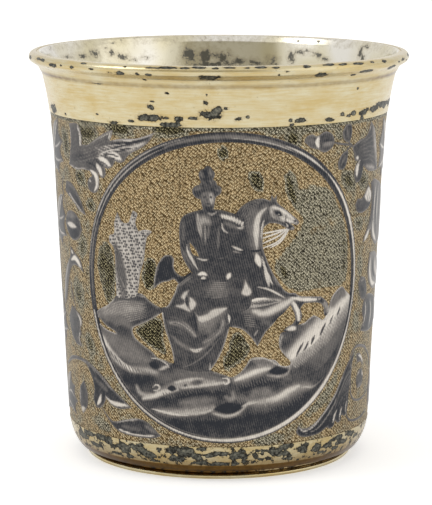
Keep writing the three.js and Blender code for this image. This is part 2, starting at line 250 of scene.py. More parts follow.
def closed_outline(runs, spacing):
    """Join runs into a closed loop. Each run is smooth and starts where the last one ended."""
    loop = None
    for run in runs:
        points = run if loop is None else [loop[-1], *run]
        drawn = curve_through(points, spacing) if len(points) > 1 else np.array(points, dtype=float)
        loop = drawn if loop is None else np.vstack((loop, drawn[1:]))
    if np.linalg.norm(loop[0] - loop[-1]) > spacing:
        loop = np.vstack((loop, curve_through([loop[-1], loop[0]], spacing)[1:]))
    loop = loop[:-1]
    following = np.roll(loop, -1, axis=0)
    turning = np.sum(loop[:, 0] * following[:, 1] - loop[:, 1] * following[:, 0])
    return loop if turning > 0 else loop[::-1]


def distance_to(points, path):
    """Distance of each point from a path, and how far along the path its nearest place is."""
    starts, ends = path[:-1], path[1:]
    lengths = np.linalg.norm(ends - starts, axis=1)
    travelled = np.concatenate(([0], np.cumsum(lengths)))
    best = np.full(len(points), np.inf)
    along = np.zeros(len(points))
    for start, end, length, before in zip(starts, ends, lengths, travelled):
        if length == 0:
            continue
        t = np.clip((points - start) @ (end - start) / length ** 2, 0, 1)
        gap = np.linalg.norm(points - start - t[:, None] * (end - start), axis=1)
        nearer = gap < best
        best[nearer] = gap[nearer]
        along[nearer] = (before + t * length)[nearer] / travelled[-1]
    return best, along


def distance_inside(points, loop):
    """Distance of each point from a closed loop, read off a fine string of beads laid along it."""
    beads = []
    for start, end in zip(loop, np.roll(loop, -1, axis=0)):
        steps = max(1, round(float(np.linalg.norm(end - start)) / BEAD_STEP))
        beads.append(start + (end - start) * (np.arange(steps) / steps)[:, None])
    beads = np.vstack(beads)
    tree = KDTree(len(beads))
    for place, (x, y) in enumerate(beads):
        tree.insert((x, y, 0), place)
    tree.balance()
    return np.array([tree.find((x, y, 0))[2] for x, y in points])


def is_inside(points, loop):
    """Which points lie inside a closed loop."""
    result = np.zeros(len(points), dtype=bool)
    x, y = points[:, 0], points[:, 1]
    for (x0, y0), (x1, y1) in zip(loop, np.roll(loop, -1, axis=0)):
        if y0 != y1:
            crosses = (y0 > y) != (y1 > y)
            result ^= crosses & (x < (x1 - x0) * (y - y0) / (y1 - y0) + x0)
    return result


# Marks that shade a surface. Each is a tone from dark 0 to bright 1, a width, how much its ends taper,
# how soft its edge is, whether it is a filled shape, and its points


def line(tone, width, *path):
    return tone, width, 0.15, 0.5, False, path


def brush(tone, width, *path):
    return tone, width, 0.85, 0.7, False, path


def glow(tone, width, *path):
    return tone, width, 0.5, 1.6, False, path


def area(tone, *path):
    return tone, 0.5, 0, 1, True, path


def hatch(tone, width, count, *guides):
    """Fine strokes spread evenly from the first guide stroke to the last, which have as many points."""
    guides = np.array(guides, dtype=float)
    strokes = []
    for share in np.linspace(0, len(guides) - 1, count):
        before = min(int(share), len(guides) - 2)
        path = guides[before] + (guides[before + 1] - guides[before]) * (share - before)
        strokes.append(brush(tone, width, *path.tolist()))
    return strokes


def shade(points, base, marks):
    """Tone of each point after all marks are laid over each other in order."""
    tone = np.full(len(points), float(base))
    for value, width, taper, softness, filled, path in marks:
        drawn = curve_through([*path, path[0]] if filled else path, MARK_STEP)
        # Points farther off than the softest mark can reach are left out
        reach = 1.5 * width + 0.2
        low, high = drawn.min(axis=0) - reach, drawn.max(axis=0) + reach
        near = np.all((points > low) & (points < high), axis=1)
        here = points[near]
        gap, along = distance_to(here, drawn)
        if filled:
            cover = smoothstep(0.5 + np.where(is_inside(here, drawn), gap, -gap) / width)
        else:
            half = width / 2 * (1 - taper * (2 * along - 1) ** 2)
            blur = max(softness * width / 2, LEAST_BLUR)
            cover = smoothstep(0.5 + (half - gap) / blur)
        tone[near] += (value - tone[near]) * cover
    return tone


def fresh():
    """Leave edit mode and deselect everything, so that an operator only meets its own piece."""
    if bpy.context.object and bpy.context.object.mode != "OBJECT":
        bpy.ops.object.mode_set(mode="OBJECT")
    bpy.ops.object.select_all(action="DESELECT")


def turned(name, section, sides):
    """Draw a section point by point, then spin it round the cup's axis."""
    fresh()
    bpy.ops.mesh.primitive_plane_add(size=MM)
    piece = bpy.context.active_object
    piece.name = name
    piece.data.name = name
    bpy.ops.object.mode_set(mode="EDIT")
    bpy.ops.mesh.select_all(action="SELECT")
    bpy.ops.mesh.merge(type="CENTER")
    here = Vector((0, 0, 0))
    for place, (radius, height) in enumerate(section):
        there = Vector((radius * MM, 0, height * MM))
        if place == 0:
            bpy.ops.transform.translate(value=there - here)
        else:
            bpy.ops.mesh.extrude_region_move(TRANSFORM_OT_translate={"value": there - here})
        here = there
    bpy.ops.mesh.select_all(action="SELECT")
    bpy.ops.mesh.spin(steps=sides, angle=2 * math.pi, center=(0, 0, 0), axis=(0, 0, 1))
    bpy.ops.mesh.select_all(action="SELECT")
    bpy.ops.mesh.remove_doubles(threshold=MERGE_GAP * MM)
    bpy.ops.mesh.normals_make_consistent(inside=False)
    bpy.ops.object.mode_set(mode="OBJECT")
    bpy.ops.object.shade_smooth_by_angle(angle=TURNED_CREASE)
    return piece


def run_up(start, end, rows, inset=0.0):
    """Section points up or down the wall, set in from its outside."""
    heights = np.linspace(start, end, rows + 1)
    return [(float(r) - inset, float(z)) for r, z in zip(wall_outside(heights), heights)]


def arc(centre, radius, first, last, steps):
    """Section points on an arc, from one angle in degrees to another."""
    angles = np.radians(np.linspace(first, last, steps + 1))
    return [(centre[0] + radius * math.cos(a), centre[1] + radius * math.sin(a)) for a in angles]


def mesh_points(mesh):
    flat = np.empty(len(mesh.vertices) * 3)
    mesh.vertices.foreach_get("co", flat)
    return flat.reshape(-1, 3)


def set_tone(mesh, name, values):
    """Keep a value for each point on the mesh, for its material to read."""
    tone = mesh.attributes.new(name, "FLOAT", "POINT")
    tone.data.foreach_set("value", np.asarray(values, dtype=np.float32))


def set_sheet_map(mesh):
    """Unroll the wall into a UV map, so that patterns follow it."""
    points = mesh_points(mesh)
    angle = np.arctan2(points[:, 0], -points[:, 1])
    corners = np.empty(len(mesh.loops), dtype=np.int32)
    mesh.loops.foreach_get("vertex_index", corners)
    totals = np.empty(len(mesh.polygons), dtype=np.int32)
    mesh.polygons.foreach_get("loop_total", totals)
    starts = np.concatenate(([0], np.cumsum(totals)[:-1]))
    first = np.repeat(angle[corners[starts]], totals)
    unrolled = angle[corners]
    unrolled = unrolled - 2 * math.pi * np.round((unrolled - first) / (2 * math.pi))
    sheet = np.column_stack((unrolled * WRAP_RADIUS * MM, points[corners, 2])) * SHEET_UNITS
    uv = mesh.uv_layers.new(name="sheet")
    uv.data.foreach_set("uv", sheet.ravel())


def on_sheet(points):
    """Drawing coordinates of points on the wall. The back takes the front's drawing: turned round inside
    its medallion, and mirrored in the leaf panels beside it."""
    angle = np.arctan2(points[:, 0], -points[:, 1])
    height = points[:, 2] / MM
    turned_round = angle - np.sign(angle) * math.pi
    rise = np.abs(height - MIDDLE[1])
    in_medallion = np.hypot(turned_round * WRAP_RADIUS, rise) < MEDALLION_RADIUS
    mirrored = np.sign(angle) * math.pi - angle
    behind = np.where(in_medallion, turned_round, mirrored)
    folded = np.where(np.abs(angle) <= math.pi / 2, angle, behind)
    return np.column_stack((folded * WRAP_RADIUS + MIDDLE[0], height))


def depth_in_wall(points):
    """How far points lie in from the wall's outside, in millimetres."""
    return wall_outside(points[:, 2] / MM) - np.hypot(points[:, 0], points[:, 1]) / MM


def painted_sheen_right(sheet):
    """How far a place lies to the right of the front, from 2 mm on to 14, where less dirt and painted
    shade are laid on the foot, which leaves a painted sheen.
    """
    return smoothstep((sheet[:, 0] - 2) / 12)


def dress(piece, slot, materials, *nodes):
    """Give a piece its materials and its body, and hide the solids that it stands for. The slot is not
    used.
    """
    for material in materials:
        piece.data.materials.append(material)
    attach(piece, "root")
    if nodes:
        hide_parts(*nodes)


def triangulate(loops, inner):
    """Triangles inside loops, of which the first is the outside and the others are holes."""
    points = np.vstack([*loops, inner]) if len(inner) else np.vstack(loops)
    rings = []
    start = 0
    for loop in loops:
        rings.append(list(range(start, start + len(loop))))
        start += len(loop)
    edges = [(a, b) for ring in rings for a, b in zip(ring, ring[1:] + ring[:1])]
    made, _, faces, origins, _, _ = delaunay_2d_cdt(
        [Vector(p) for p in points], edges, [rings[0]], 1, 1e-5, True)
    made = np.array([tuple(p) for p in made])
    faces = np.array(faces)
    corners = made[faces]
    keep = is_inside(corners.mean(axis=1), loops[0])
    for hole in loops[1:]:
        keep &= ~is_inside(corners.mean(axis=1), hole)
    faces = faces[keep]
    a, b, c = (made[faces[:, i]] for i in range(3))
    ab, ac = b - a, c - a
    turned_over = ab[:, 0] * ac[:, 1] - ab[:, 1] * ac[:, 0] < 0
    faces[turned_over] = faces[turned_over][:, ::-1]
    where = {old: new for new, olds in enumerate(origins) for old in olds}
    return made, faces, [[where[i] for i in ring] for ring in rings]


def hex_grid(loop, spacing):
    low, high = loop.min(axis=0), loop.max(axis=0)
    rows = np.arange(low[1], high[1], spacing * math.sqrt(0.75))
    columns = np.arange(low[0], high[0], spacing)
    x, y = np.meshgrid(columns, rows)
    x = x + spacing / 2 * (np.arange(len(rows)) % 2)[:, None]
    return np.column_stack((x.ravel(), y.ravel()))


def fill_points(loops, spacing, margin):
    """Evenly spread points inside the loops, kept a margin away from them."""
    grid = hex_grid(loops[0], spacing)
    keep = is_inside(grid, loops[0])
    for hole in loops[1:]:
        keep &= ~is_inside(grid, hole)
    grid = grid[keep]
    for loop in loops:
        grid = grid[distance_inside(grid, loop) > margin]
    return grid


def inner_ring(loop, edge):
    """Points just inside a loop, where its rounded edge meets the flat top."""
    along = np.roll(loop, -1, axis=0) - np.roll(loop, 1, axis=0)
    along /= np.linalg.norm(along, axis=1)[:, None]
    ring = loop + edge * np.column_stack((-along[:, 1], along[:, 0]))
    return ring[distance_inside(ring, loop) > 0.9 * edge]


def inlay(name, outlines, base, marks, sizes, grain, layer=0.0, rim=0.6, dots=None, beside=()):
    """A niello inlay: its outlines filled with fine points that carry its shading, with rounded edges,
    rolled on to the wall and let into the field. The first outline may be followed by holes. Its edge
    is painted pale, as polished silver and as a painted highlight where the rounded edge catches
    light, except where it meets one of the pieces beside it."""
    spacing = grain / MM
    edge = sizes.inlay_edge / MM
    top = sizes.inlay_lift / MM + layer
    sink = -sizes.field_sink / MM - INLAY_ROOT
    loops = [closed_outline(runs, spacing) for runs in outlines]
    loops[1:] = [hole[::-1] for hole in loops[1:]]
    rings = np.vstack([inner_ring(loop, edge) for loop in loops])
    inner = np.vstack((rings, fill_points(loops, spacing, edge + 0.55 * spacing)))
    flat, faces, ring_ids = triangulate(loops, inner)
    gap = np.min([distance_inside(flat, loop) for loop in loops], axis=0)
    tone = shade(flat, base, marks)
    if dots:
        pitch, radius, dot_tone = dots
        row = np.round(flat[:, 1] / pitch)
        column = np.round(flat[:, 0] / pitch - (row % 2) / 2) + (row % 2) / 2
        # Waves much shorter than the pitch stand in for chance, the same way each run
        uneven = np.column_stack((np.sin(row * 12.9 + column * 78.2), np.cos(row * 39.3 + column)))
        jitter = DOT_STRAY * pitch * uneven
        away = np.linalg.norm(flat - pitch * np.column_stack((column, row)) - jitter, axis=1)
        pale = smoothstep((tone - DOT_LEAST_TONE) / DOT_TONE_FADE)
        tone += (dot_tone - tone) * smoothstep(0.5 + (radius - away) / DOT_BLUR) * pale
    # Pale rim: polished silver and a painted highlight where the rounded edge catches light
    polished = smoothstep(RIM_REACH - gap / edge) * (rim > 0)
    for runs in beside:
        border = closed_outline(runs, MARK_STEP)
        away, _ = distance_to(flat, border)
        apart = smoothstep((away - BESIDE_GAP) / BESIDE_FADE)
        polished *= np.where(is_inside(flat, border), 0, apart)
    tone += (rim - tone) * polished
    rounded = np.clip(1 - gap / edge, 0, 1)
    drop = min(edge, sizes.field_sink / MM)
    lift = top + sizes.line_relief / MM * tone - drop * (1 - np.sqrt(1 - rounded ** 2))
    under_inner = fill_points(loops, UNDER_SPACING, UNDER_MARGIN)
    under, under_faces, under_ids = triangulate(loops, under_inner)
    plan = np.vstack((flat, under))
    height = np.concatenate((lift, np.full(len(under), sink)))
    angle = (plan[:, 0] - MIDDLE[0]) / WRAP_RADIUS
    radius = wall_outside(plan[:, 1]) + height
    points = np.column_stack((radius * np.sin(angle), -radius * np.cos(angle), plan[:, 1])) * MM
    shift = len(flat)
    skirts = [
        (ring[i], low[i] + shift, low[i - len(ring) + 1] + shift, ring[i - len(ring) + 1])
        for ring, low in zip(ring_ids, under_ids) for i in range(len(ring))]
    mesh = bpy.data.meshes.new(name)
    mesh.from_pydata(
        points.tolist(), [], faces.tolist() + (under_faces[:, ::-1] + shift).tolist() + skirts)
    mesh.validate()
    set_tone(mesh, "silver", np.concatenate((tone, np.zeros(len(under)))))
    set_sheet_map(mesh)
    piece = bpy.data.objects.new(name, mesh)
    bpy.context.scene.collection.objects.link(piece)
    smooth(piece)
    return piece


def smooth(piece):
    fresh()
    piece.select_set(True)
    bpy.context.view_layer.objects.active = piece
    bpy.ops.object.shade_smooth_by_angle(angle=INLAY_CREASE)


def copy_behind(piece, name, mirrored):
    """The same inlay on the back: turned half round, or mirrored in the plane between front and back."""
    mesh = piece.data.copy()
    mesh.name = name
    points = mesh_points(mesh) * ((1, -1, 1) if mirrored else (-1, -1, 1))
    mesh.vertices.foreach_set("co", points.ravel())
    if mirrored:
        mesh.flip_normals()
    mesh.update()
    copy = bpy.data.objects.new(name, mesh)
    bpy.context.scene.collection.objects.link(copy)
    return copy


def both_sides(name, material, *drawing, mirrored=False, has_solid=True, **finish):
    """Let an inlay into the front and copy it to the back. One with a solid of its own stands for it."""
    tail = "_visual" if has_solid else ""
    front = inlay(f"front_{name}{tail}", *drawing, **finish)
    back = copy_behind(front, f"back_{name}{tail}", mirrored)
    for side, piece in (("front", front), ("back", back)):
        nodes = [f"{side}_{name}"] if has_solid else []
        dress(piece, "niello", [material], *nodes)


def ribbon(path, width, tip=0.35):
    """Outline of a thin stem along a path, with narrowed ends."""
    drawn = curve_through(path, MARK_STEP)
    along = np.gradient(drawn, axis=0)
    along /= np.linalg.norm(along, axis=1)[:, None]
    across = np.column_stack((-along[:, 1], along[:, 0]))
    share = np.linspace(-1, 1, len(drawn))
    half = width / 2 * (1 - (1 - tip) * share ** 4)[:, None]
    left, right = drawn + across * half, drawn - across * half
    return [left.tolist(), [right[-1].tolist()], right[::-1].tolist()[1:], [left[0].tolist()]]


# Drawings of the medallion's figures, each with the tone that it starts from and the marks over it

RIDER = [
    [(-3, 54.1), (-3.2, 55), (-3.4, 56)],
    [(-4.2, 56.2), (-4.8, 56.9), (-4.9, 57.8), (-4.4, 58.5), (-3.7, 58.7)],
    [(-3.3, 59.3), (-3.6, 60), (-3.7, 60.9), (-3.3, 61.6), (-2.7, 61.9)],
    [(-2.2, 62.4), (-1.5, 62.2), (-1.2, 61.6)], [(-0.8, 61.2), (-0.8, 60.4), (-1.1, 59.8)],
    [(-0.6, 59.4), (-0.3, 58.7)], [(0.3, 58.4), (0.5, 57.7), (0.2, 57), (-0.6, 56.4)],
    [(-0.8, 55.2), (-1, 54.1)], [(0.6, 53.9), (2.6, 53.3), (4.8, 52.6)],
    [(5.2, 48), (5.3, 44), (5.2, 40.6)], [(1, 40.2), (-4, 40.4)],
    [(-5.6, 42.4), (-6.9, 44.6), (-7.4, 47), (-7.5, 50), (-7.1, 52), (-6, 53.1), (-3, 54.1)],
]
ARM_GAP = [
    [(-5.5, 47.6), (-4.9, 46.9), (-4.2, 45.9), (-3.8, 44.9)], [(-4.9, 45.3), (-5.4, 46.4), (-5.5, 47.6)],
]
RIDER_MARKS = [
    glow(0.42, 0.5, (-3.3, 61.2), (-3, 60.2)),
    glow(0.36, 0.5, (-1.7, 61.8), (-1.4, 60.6)),
    brush(0.02, 0.3, (-2.5, 61.6), (-2.2, 60)),
    glow(0.3, 0.5, (-2.9, 59.4), (-2.2, 58.6)),
    glow(0.34, 0.4, (-1.7, 59.6), (-1.2, 58.8)),
    glow(0.34, 0.7, (-4.4, 57.8), (-3.4, 58.2)),
    glow(0.3, 0.6, (-0.6, 58), (0, 57.6)),
    area(0.36, (-3.1, 57.2), (-2.1, 57.5), (-1.1, 57.2), (-0.9, 56.2), (-1.3, 55), (-2, 54.5),
         (-2.7, 55), (-3.2, 56.2)),
    glow(0.72, 1, (-1.4, 57), (-1.3, 55.3)),
    brush(0.1, 0.3, (-2.9, 56.4), (-2.3, 56.45)),
    brush(0.1, 0.3, (-1.75, 56.45), (-1.2, 56.4)),
    brush(0.22, 0.22, (-2.05, 56.4), (-2, 55.7)),
    brush(0.15, 0.25, (-2.4, 55.15), (-1.6, 55.15)),
    brush(0.6, 0.45, (-2.2, 53.5), (-1.3, 53.1), (-0.4, 53.6)),
    glow(0.3, 0.6, (-6.6, 51.8), (-6.7, 48)),
    glow(0.62, 1.7, (-3.6, 51.2), (-2.8, 52), (-1.8, 51.6)),
    brush(0.42, 0.4, (-3.3, 51.4), (-3.2, 48)),
    brush(0.55, 0.4, (-2.6, 51.2), (-2.5, 47.4)),
    brush(0.42, 0.35, (-1.9, 51.2), (-2, 48.4)),
    brush(0.1, 0.35, (-1.3, 52.6), (-1.2, 50), (-1.8, 47)),
    glow(0.7, 0.8, (0.4, 52.9), (2, 52.4), (4.3, 51.4)),
    *hatch(0.95, 0.34, 9, [(0.5, 53.3), (0.7, 52.3)], [(2.2, 52.9), (2.4, 51.8)],
           [(4.6, 51.8), (4.1, 50.8)]),
    brush(0.7, 0.5, (4.6, 51.2), (4.3, 50.4), (3.2, 50.6)),
    brush(0.7, 0.42, (0.5, 51.6), (0.8, 50.2), (1.8, 49.4)),
    glow(0.4, 0.9, (1.2, 51.4), (3.2, 50.6)),
    brush(0.35, 0.5, (0, 51), (-0.2, 46)),
    brush(0.82, 0.5, (-6, 47.2), (-5.9, 45.9), (-5, 44.2), (-3.9, 42.2)),
    brush(0.3, 0.5, (-6.9, 46.4), (-6.2, 44.8), (-4.9, 42.8)),
    brush(0.72, 0.42, (-4.2, 44.6), (-3, 44.3), (-1.9, 44.3)),
    brush(0.8, 0.5, (2.4, 47), (3.4, 46.5), (4.5, 46.1)),
    brush(0.5, 0.3, (2.6, 46), (4.2, 45.6)),
    brush(0.35, 0.25, (-0.2, 44.6), (1, 44.7)),
    brush(0.95, 0.9, (-4, 41.4), (-3, 41.6), (-2.2, 41.3)),
    brush(0.12, 0.3, (-3.4, 41.3), (-2.6, 41)),
    brush(0.9, 0.8, (-3.4, 40.6), (-2.5, 40.8)),
    brush(0.9, 0.9, (2.2, 41.8), (1.7, 40.9), (1.6, 40.5)),
    brush(0.6, 0.9, (-4, 53.4), (-3.7, 51.2), (-3.4, 48.8)),
]

ROBE = [
    [(-4.6, 42), (0, 41.6), (5.6, 41.8)], [(6.4, 39.6), (6.6, 37), (5.8, 34.6), (2.5, 33.5)],
    [(2.1, 31.4), (1.1, 27.8), (-0.2, 24.8), (-1.9, 22.3)], [(-5, 22.2), (-8.8, 22.9)],
    [(-9.4, 26.6), (-10.7, 30.6), (-11.3, 33.6)],
    [(-11.2, 34.6), (-10, 35.1), (-8.6, 37.6), (-7.9, 39.4), (-6.4, 40.8), (-4.6, 42)],
]
ROBE_MARKS = [
    area(0.82, (-5.7, 38.4), (-6.8, 37.8), (-7.3, 36.8), (-6.7, 36.4), (-6.8, 35.6), (-8.4, 35.2),
         (-7, 34.6), (-5.5, 34.1), (-5.9, 34.9), (-6.5, 35.9), (-6.3, 36.9)),
    area(0.82, (-5.7, 37), (-5, 36.7), (-4.3, 35.6), (-5.3, 34.4), (-5.8, 35.4), (-5.6, 36.2)),
    brush(0.1, 0.5, (-6.3, 37.2), (-6.2, 35.9), (-5.8, 35.1)),
    glow(0.38, 2.4, (-3.2, 30.8), (-1.4, 31.4)),
    glow(0.5, 2.6, (-3.6, 32.2), (-1.2, 33.2), (0.6, 34.2)),
    area(0.8, (-4.6, 34.1), (-3.9, 33.3), (-2.2, 33.8), (-1, 34.7), (1.6, 35), (0.2, 33.8), (-1.7, 32.7),
         (-3.4, 32), (-3.9, 32.4)),
    *hatch(0.52, 0.22, 7, [(-3.8, 32.3), (-3.7, 30.6)], [(-1, 33), (-1.2, 31.4)]),
    brush(0.06, 0.5, (-5, 34.2), (-4.5, 32), (-4.2, 28.9)),
    glow(0.6, 1, (-9.5, 31.8), (-7.1, 31.6), (-5.9, 30.8), (-4.6, 29.4)),
    *hatch(0.26, 0.2, 6, [(-10.2, 33), (-7.4, 32.6), (-5.2, 31)],
           [(-9.8, 30.4), (-7.4, 29.6), (-5, 27.8)]),
    glow(0.58, 0.9, (0.8, 32.4), (0.5, 30.7), (-0.8, 29.5), (-2.9, 28.1)),
    *hatch(0.28, 0.2, 5, [(1.6, 31.8), (0.6, 29.4), (-2, 27.2)],
           [(-0.6, 32), (-1.6, 30.6), (-3.4, 29.4)]),
    glow(0.4, 0.8, (-9.1, 29.1), (-7.6, 27.7), (-5.4, 26.7), (-4.2, 26.5), (-2.7, 27.2), (-0.8, 29)),
    brush(0.78, 0.7, (-5.7, 26.9), (-4.6, 26.4), (-3.2, 27)),
    *hatch(0.22, 0.2, 13, [(-9, 28), (-8.8, 23.6)], [(-5.4, 26.2), (-5.4, 22.9)],
           [(-1, 27.8), (-1.8, 23.6)]),
    brush(0.42, 0.3, (-7.2, 23.1), (-5.4, 23.8), (-3.5, 25), (-1.7, 26.7), (0, 28.9)),
    line(0.88, 0.42, (-11.1, 33.6), (-10.9, 30.8), (-10.3, 28.3), (-9.7, 26.4)),
    brush(0.5, 0.3, (-9.7, 26.4), (-9, 23.6)),
    brush(0.92, 0.6, (1.8, 33.7), (2.1, 32.6), (2.4, 31.5)),
    brush(0.7, 0.45, (-1.7, 24.2), (-1.7, 22.8), (-1, 23), (0, 24.8)),
    glow(0.26, 3, (-2.2, 38.6), (2, 38.4)),
    *hatch(0.52, 0.2, 8, [(-1.4, 40), (0.2, 39.9), (1.4, 39.9)],
           [(-2.8, 37.1), (-0.5, 37), (1.8, 37.4)]),
    area(0.86, (5, 40.3), (5.5, 39.4), (6.3, 37.9), (5.5, 37.2), (4.3, 37.7), (4.7, 38.9)),
    brush(0.4, 0.4, (-7.6, 39), (-6.2, 40.2), (-5, 41)),
]

FOREHAND = [
    [(3, 53), (4.2, 54.6), (6, 55.7), (8, 56), (9.7, 55.5)], [(9.9, 56.7)], [(10.4, 55.9)],
    [(10.9, 56.6)], [(11, 55.2), (12.3, 54), (14, 52.6), (15.3, 51.5), (15.7, 50.9), (15.3, 50.5)],
    [(14.9, 50.6), (13.9, 50.9)], [(14.6, 50.2), (14.7, 49.7), (14.1, 49.5), (13.3, 49.8)],
    [(12.6, 50.3), (11.2, 51), (9.6, 51.2)],
    [(8.5, 50.4), (8.3, 48.4), (8.4, 46.4), (9, 44.6), (10.2, 41.9), (11.8, 39.4), (12.9, 37.9)],
    [(14, 37.3), (15.2, 37.2), (16.4, 36.5), (18.6, 36.2), (21.4, 35.9)],
    [(22.4, 35.2), (23.4, 34.2), (23.6, 32.6), (23.1, 31.9)],
    [(22.4, 32.2), (22.2, 33.6), (21.4, 34.5), (19.8, 34.9), (17.4, 35)],
    [(16.6, 34), (17, 32.6), (16.7, 31.5)], [(16, 30.6), (15.9, 29.7), (14.4, 29.5), (12.8, 29.9)],
    [(13.6, 30.6), (14.8, 31.1), (15.5, 31.9)], [(15.2, 33.2), (14.3, 34.9)],
    [(12.6, 33.2), (10.4, 32.2), (7, 32.4), (4, 33.6)],
    [(3.8, 37), (4, 42), (4.2, 46), (3.6, 50), (3, 53)],
]
FOREHAND_MARKS = [
    *hatch(0.36, 0.22, 7, [(3.6, 52.8), (5.4, 54.9), (8, 55.6)], [(5.4, 49), (5.8, 52.4), (7.2, 54.2)]),
    glow(0.45, 2.4, (8.8, 54.2), (7.2, 52.4), (6.9, 49.6), (7.2, 45.8)),
    brush(0.84, 1.1, (8.9, 54.2), (7.5, 52.8), (7, 50), (7.2, 46.2)),
    brush(0.15, 0.35, (8.6, 53), (7.9, 51.4), (7.8, 49)),
    brush(0.85, 0.4, (8.5, 51.9), (8.1, 50.4), (8, 48)),
    area(0.7, (9.4, 54.2), (10.4, 54.7), (11.8, 53.9), (13.6, 52.5), (15.2, 51.2), (15.3, 50.7),
         (14.2, 50.7), (12.9, 51), (11.4, 51.6), (10.2, 52.2), (9.6, 53)),
    brush(0.2, 0.7, (9.2, 53.6), (9.6, 52.2), (10.8, 51.4), (12.4, 50.8)),
    glow(0.5, 0.9, (10, 52.9), (11.6, 51.9)),
    brush(0.94, 0.6, (9.8, 54.3), (11.6, 53.8), (13.2, 52.7), (14.8, 51.5)),
    brush(0.88, 0.5, (11.6, 52.2), (13, 51.6), (14.6, 51)),
    brush(0.3, 1, (10.3, 53.5), (11.1, 53.1), (12, 52.6)),
    brush(0, 0.7, (10.7, 53.3), (11.3, 53), (11.9, 52.6)),
    line(0.8, 0.22, (11.2, 52.9), (11.5, 52.8)),
    brush(0.03, 0.6, (12.6, 51.4), (13.3, 50.7), (13.8, 50)),
    brush(0.85, 0.3, (12.9, 51), (13.2, 50.5), (13.2, 50.1)),
    brush(0.7, 0.35, (13.9, 50.1), (14.5, 49.8)),
    brush(0.1, 0.36, (14.5, 51.4), (15, 51.2)),
    brush(0.3, 0.22, (12.9, 52.9), (12.6, 51)),
    brush(0.06, 0.4, (8.2, 46.2), (7, 45.9), (5.8, 46)),
    brush(0.98, 1.25, (7.1, 45.4), (7.4, 44.2), (7.9, 42.8)),
    brush(0.9, 0.5, (8.2, 44.9), (8.8, 42.6), (9.8, 40.4), (10.6, 38.8)),
    brush(0.85, 0.8, (8.7, 42.6), (9.3, 40.6), (9.7, 38.8)),
    glow(0.4, 0.8, (10.6, 40.8), (11.8, 39)),
    glow(0.45, 3.4, (5.6, 34.8), (8.6, 34.6), (12.4, 35.6)),
    area(0.66, (4.8, 35.6), (6.6, 36.5), (9, 36.6), (12.4, 36.1), (10.4, 35.3), (8, 34.9), (6.2, 34.9)),
    brush(0.3, 0.45, (6.4, 35.6), (9, 35.7), (11.6, 35.9)),
    brush(0.95, 0.5, (5.4, 36), (7.4, 36.5), (9.8, 36.5)),
    brush(0.22, 0.45, (6, 34.6), (9, 34.9), (12, 35.6)),
    *hatch(0.2, 0.2, 8, [(5.6, 35.9), (6.6, 35.4)], [(10.4, 36.3), (11.2, 35.8)]),
    glow(0.85, 1.4, (6.8, 34.2), (8.7, 33.6), (10.8, 34.2), (13.1, 35.2), (15.2, 36.3), (16.4, 36)),
    brush(0.95, 0.8, (14.4, 36.4), (16.4, 35.9), (18.6, 35.6), (21.2, 35.4)),
    brush(0.85, 0.45, (7.4, 38.9), (9.4, 38.4), (11.4, 37.4), (13.2, 36.3)),
    brush(0.1, 0.4, (13, 37.3), (14.4, 36.8), (15.8, 36.5)),
    brush(0.12, 0.35, (20.4, 35.8), (20.7, 34.9)),
    brush(0.85, 0.35, (22.6, 34.6), (23.3, 33.6), (23.2, 32.2)),
    area(0.55, (22.3, 34.9), (23.1, 34), (23.3, 32.6), (22.9, 32.2), (22.6, 33.4), (21.9, 34.4)),
    line(0.92, 0.85, (14.9, 35.2), (15.8, 33.8), (16.2, 31.9)),
    area(0.88, (13.3, 30.2), (14.6, 30.8), (15.7, 30.5), (15.6, 29.9), (14.2, 29.8)),
]

HAUNCH = [
    [(1.6, 31.3), (2.4, 34.2), (7, 34.2), (12.8, 33.8)], [(10.8, 31.5), (9.2, 29.9), (7.6, 27.2)],
    [(6.3, 29), (4.4, 30.7), (1.6, 31.3)],
]
HAUNCH_MARKS = [
    *hatch(0.45, 0.2, 6, [(4.3, 33.5), (5.5, 33.4), (6.6, 33.3)], [(5.1, 31.4), (6.4, 31.2), (7.6, 31)]),
    brush(0.6, 0.4, (6.8, 29.2), (7.6, 30.4)),
    glow(0.3, 1.2, (8.4, 32.6), (10, 31.4)),
]

TAIL = [
    [(-12.9, 38.2), (-12.6, 40.8), (-11.8, 43.2), (-10.5, 44.8), (-9.1, 45)],
    [(-8.6, 44.2), (-8.7, 42.8), (-8.1, 41.6), (-6.8, 41), (-5.2, 42)], [(-5.4, 40.4), (-7.6, 39.2)],
    [(-8.6, 40.3), (-9.7, 39.9), (-11.2, 39.5), (-12.9, 38.2)],
]
TAIL_MARKS = [
    brush(0.42, 0.35, (-12.7, 38.6), (-12.4, 40.8), (-11.6, 42.8)),
    brush(0.8, 0.3, (-10, 39.9), (-8.8, 40.2), (-7.6, 39.6)),
]

SHRUB = [
    [(-21.5, 35.6), (-21.5, 40), (-21.6, 45), (-22.9, 46.6)],
    [(-22.7, 47.8), (-21.5, 48.4), (-21.3, 50.6), (-20.5, 52.6)],
    [(-19.4, 50.8), (-18, 50.8), (-16.9, 53.2)], [(-15.9, 52.6), (-16.4, 50.8), (-15.8, 49.2)],
    [(-14.4, 49.6), (-13, 49.4), (-14, 48.2)],
    [(-14.4, 46.4), (-14.8, 43.6), (-15.7, 41), (-16, 38.8), (-16.6, 36.2)],
    [(-19, 35.6), (-21.5, 35.6)],
]
SHRUB_MARKS = [
    brush(0.28, 2.2, (-21.2, 46.4), (-20.4, 43), (-19.8, 39), (-19.6, 35.4)),
    brush(0.75, 0.4, (-21.2, 45), (-20.2, 45.6), (-19.2, 44.4)),
    brush(0.6, 0.25, (-21.2, 39.6), (-20.2, 37.8), (-19.4, 35.8)),
    brush(0.6, 0.25, (-20.4, 40.2), (-19.4, 38), (-18.6, 36)),
    brush(0.55, 0.25, (-21.3, 38), (-20.6, 36.6), (-20.2, 35.8)),
]

# Dots that stand for the shrub's small leaves: pitch, radius and tone
SHRUB_DOTS = (0.62, 0.18, 0.04)

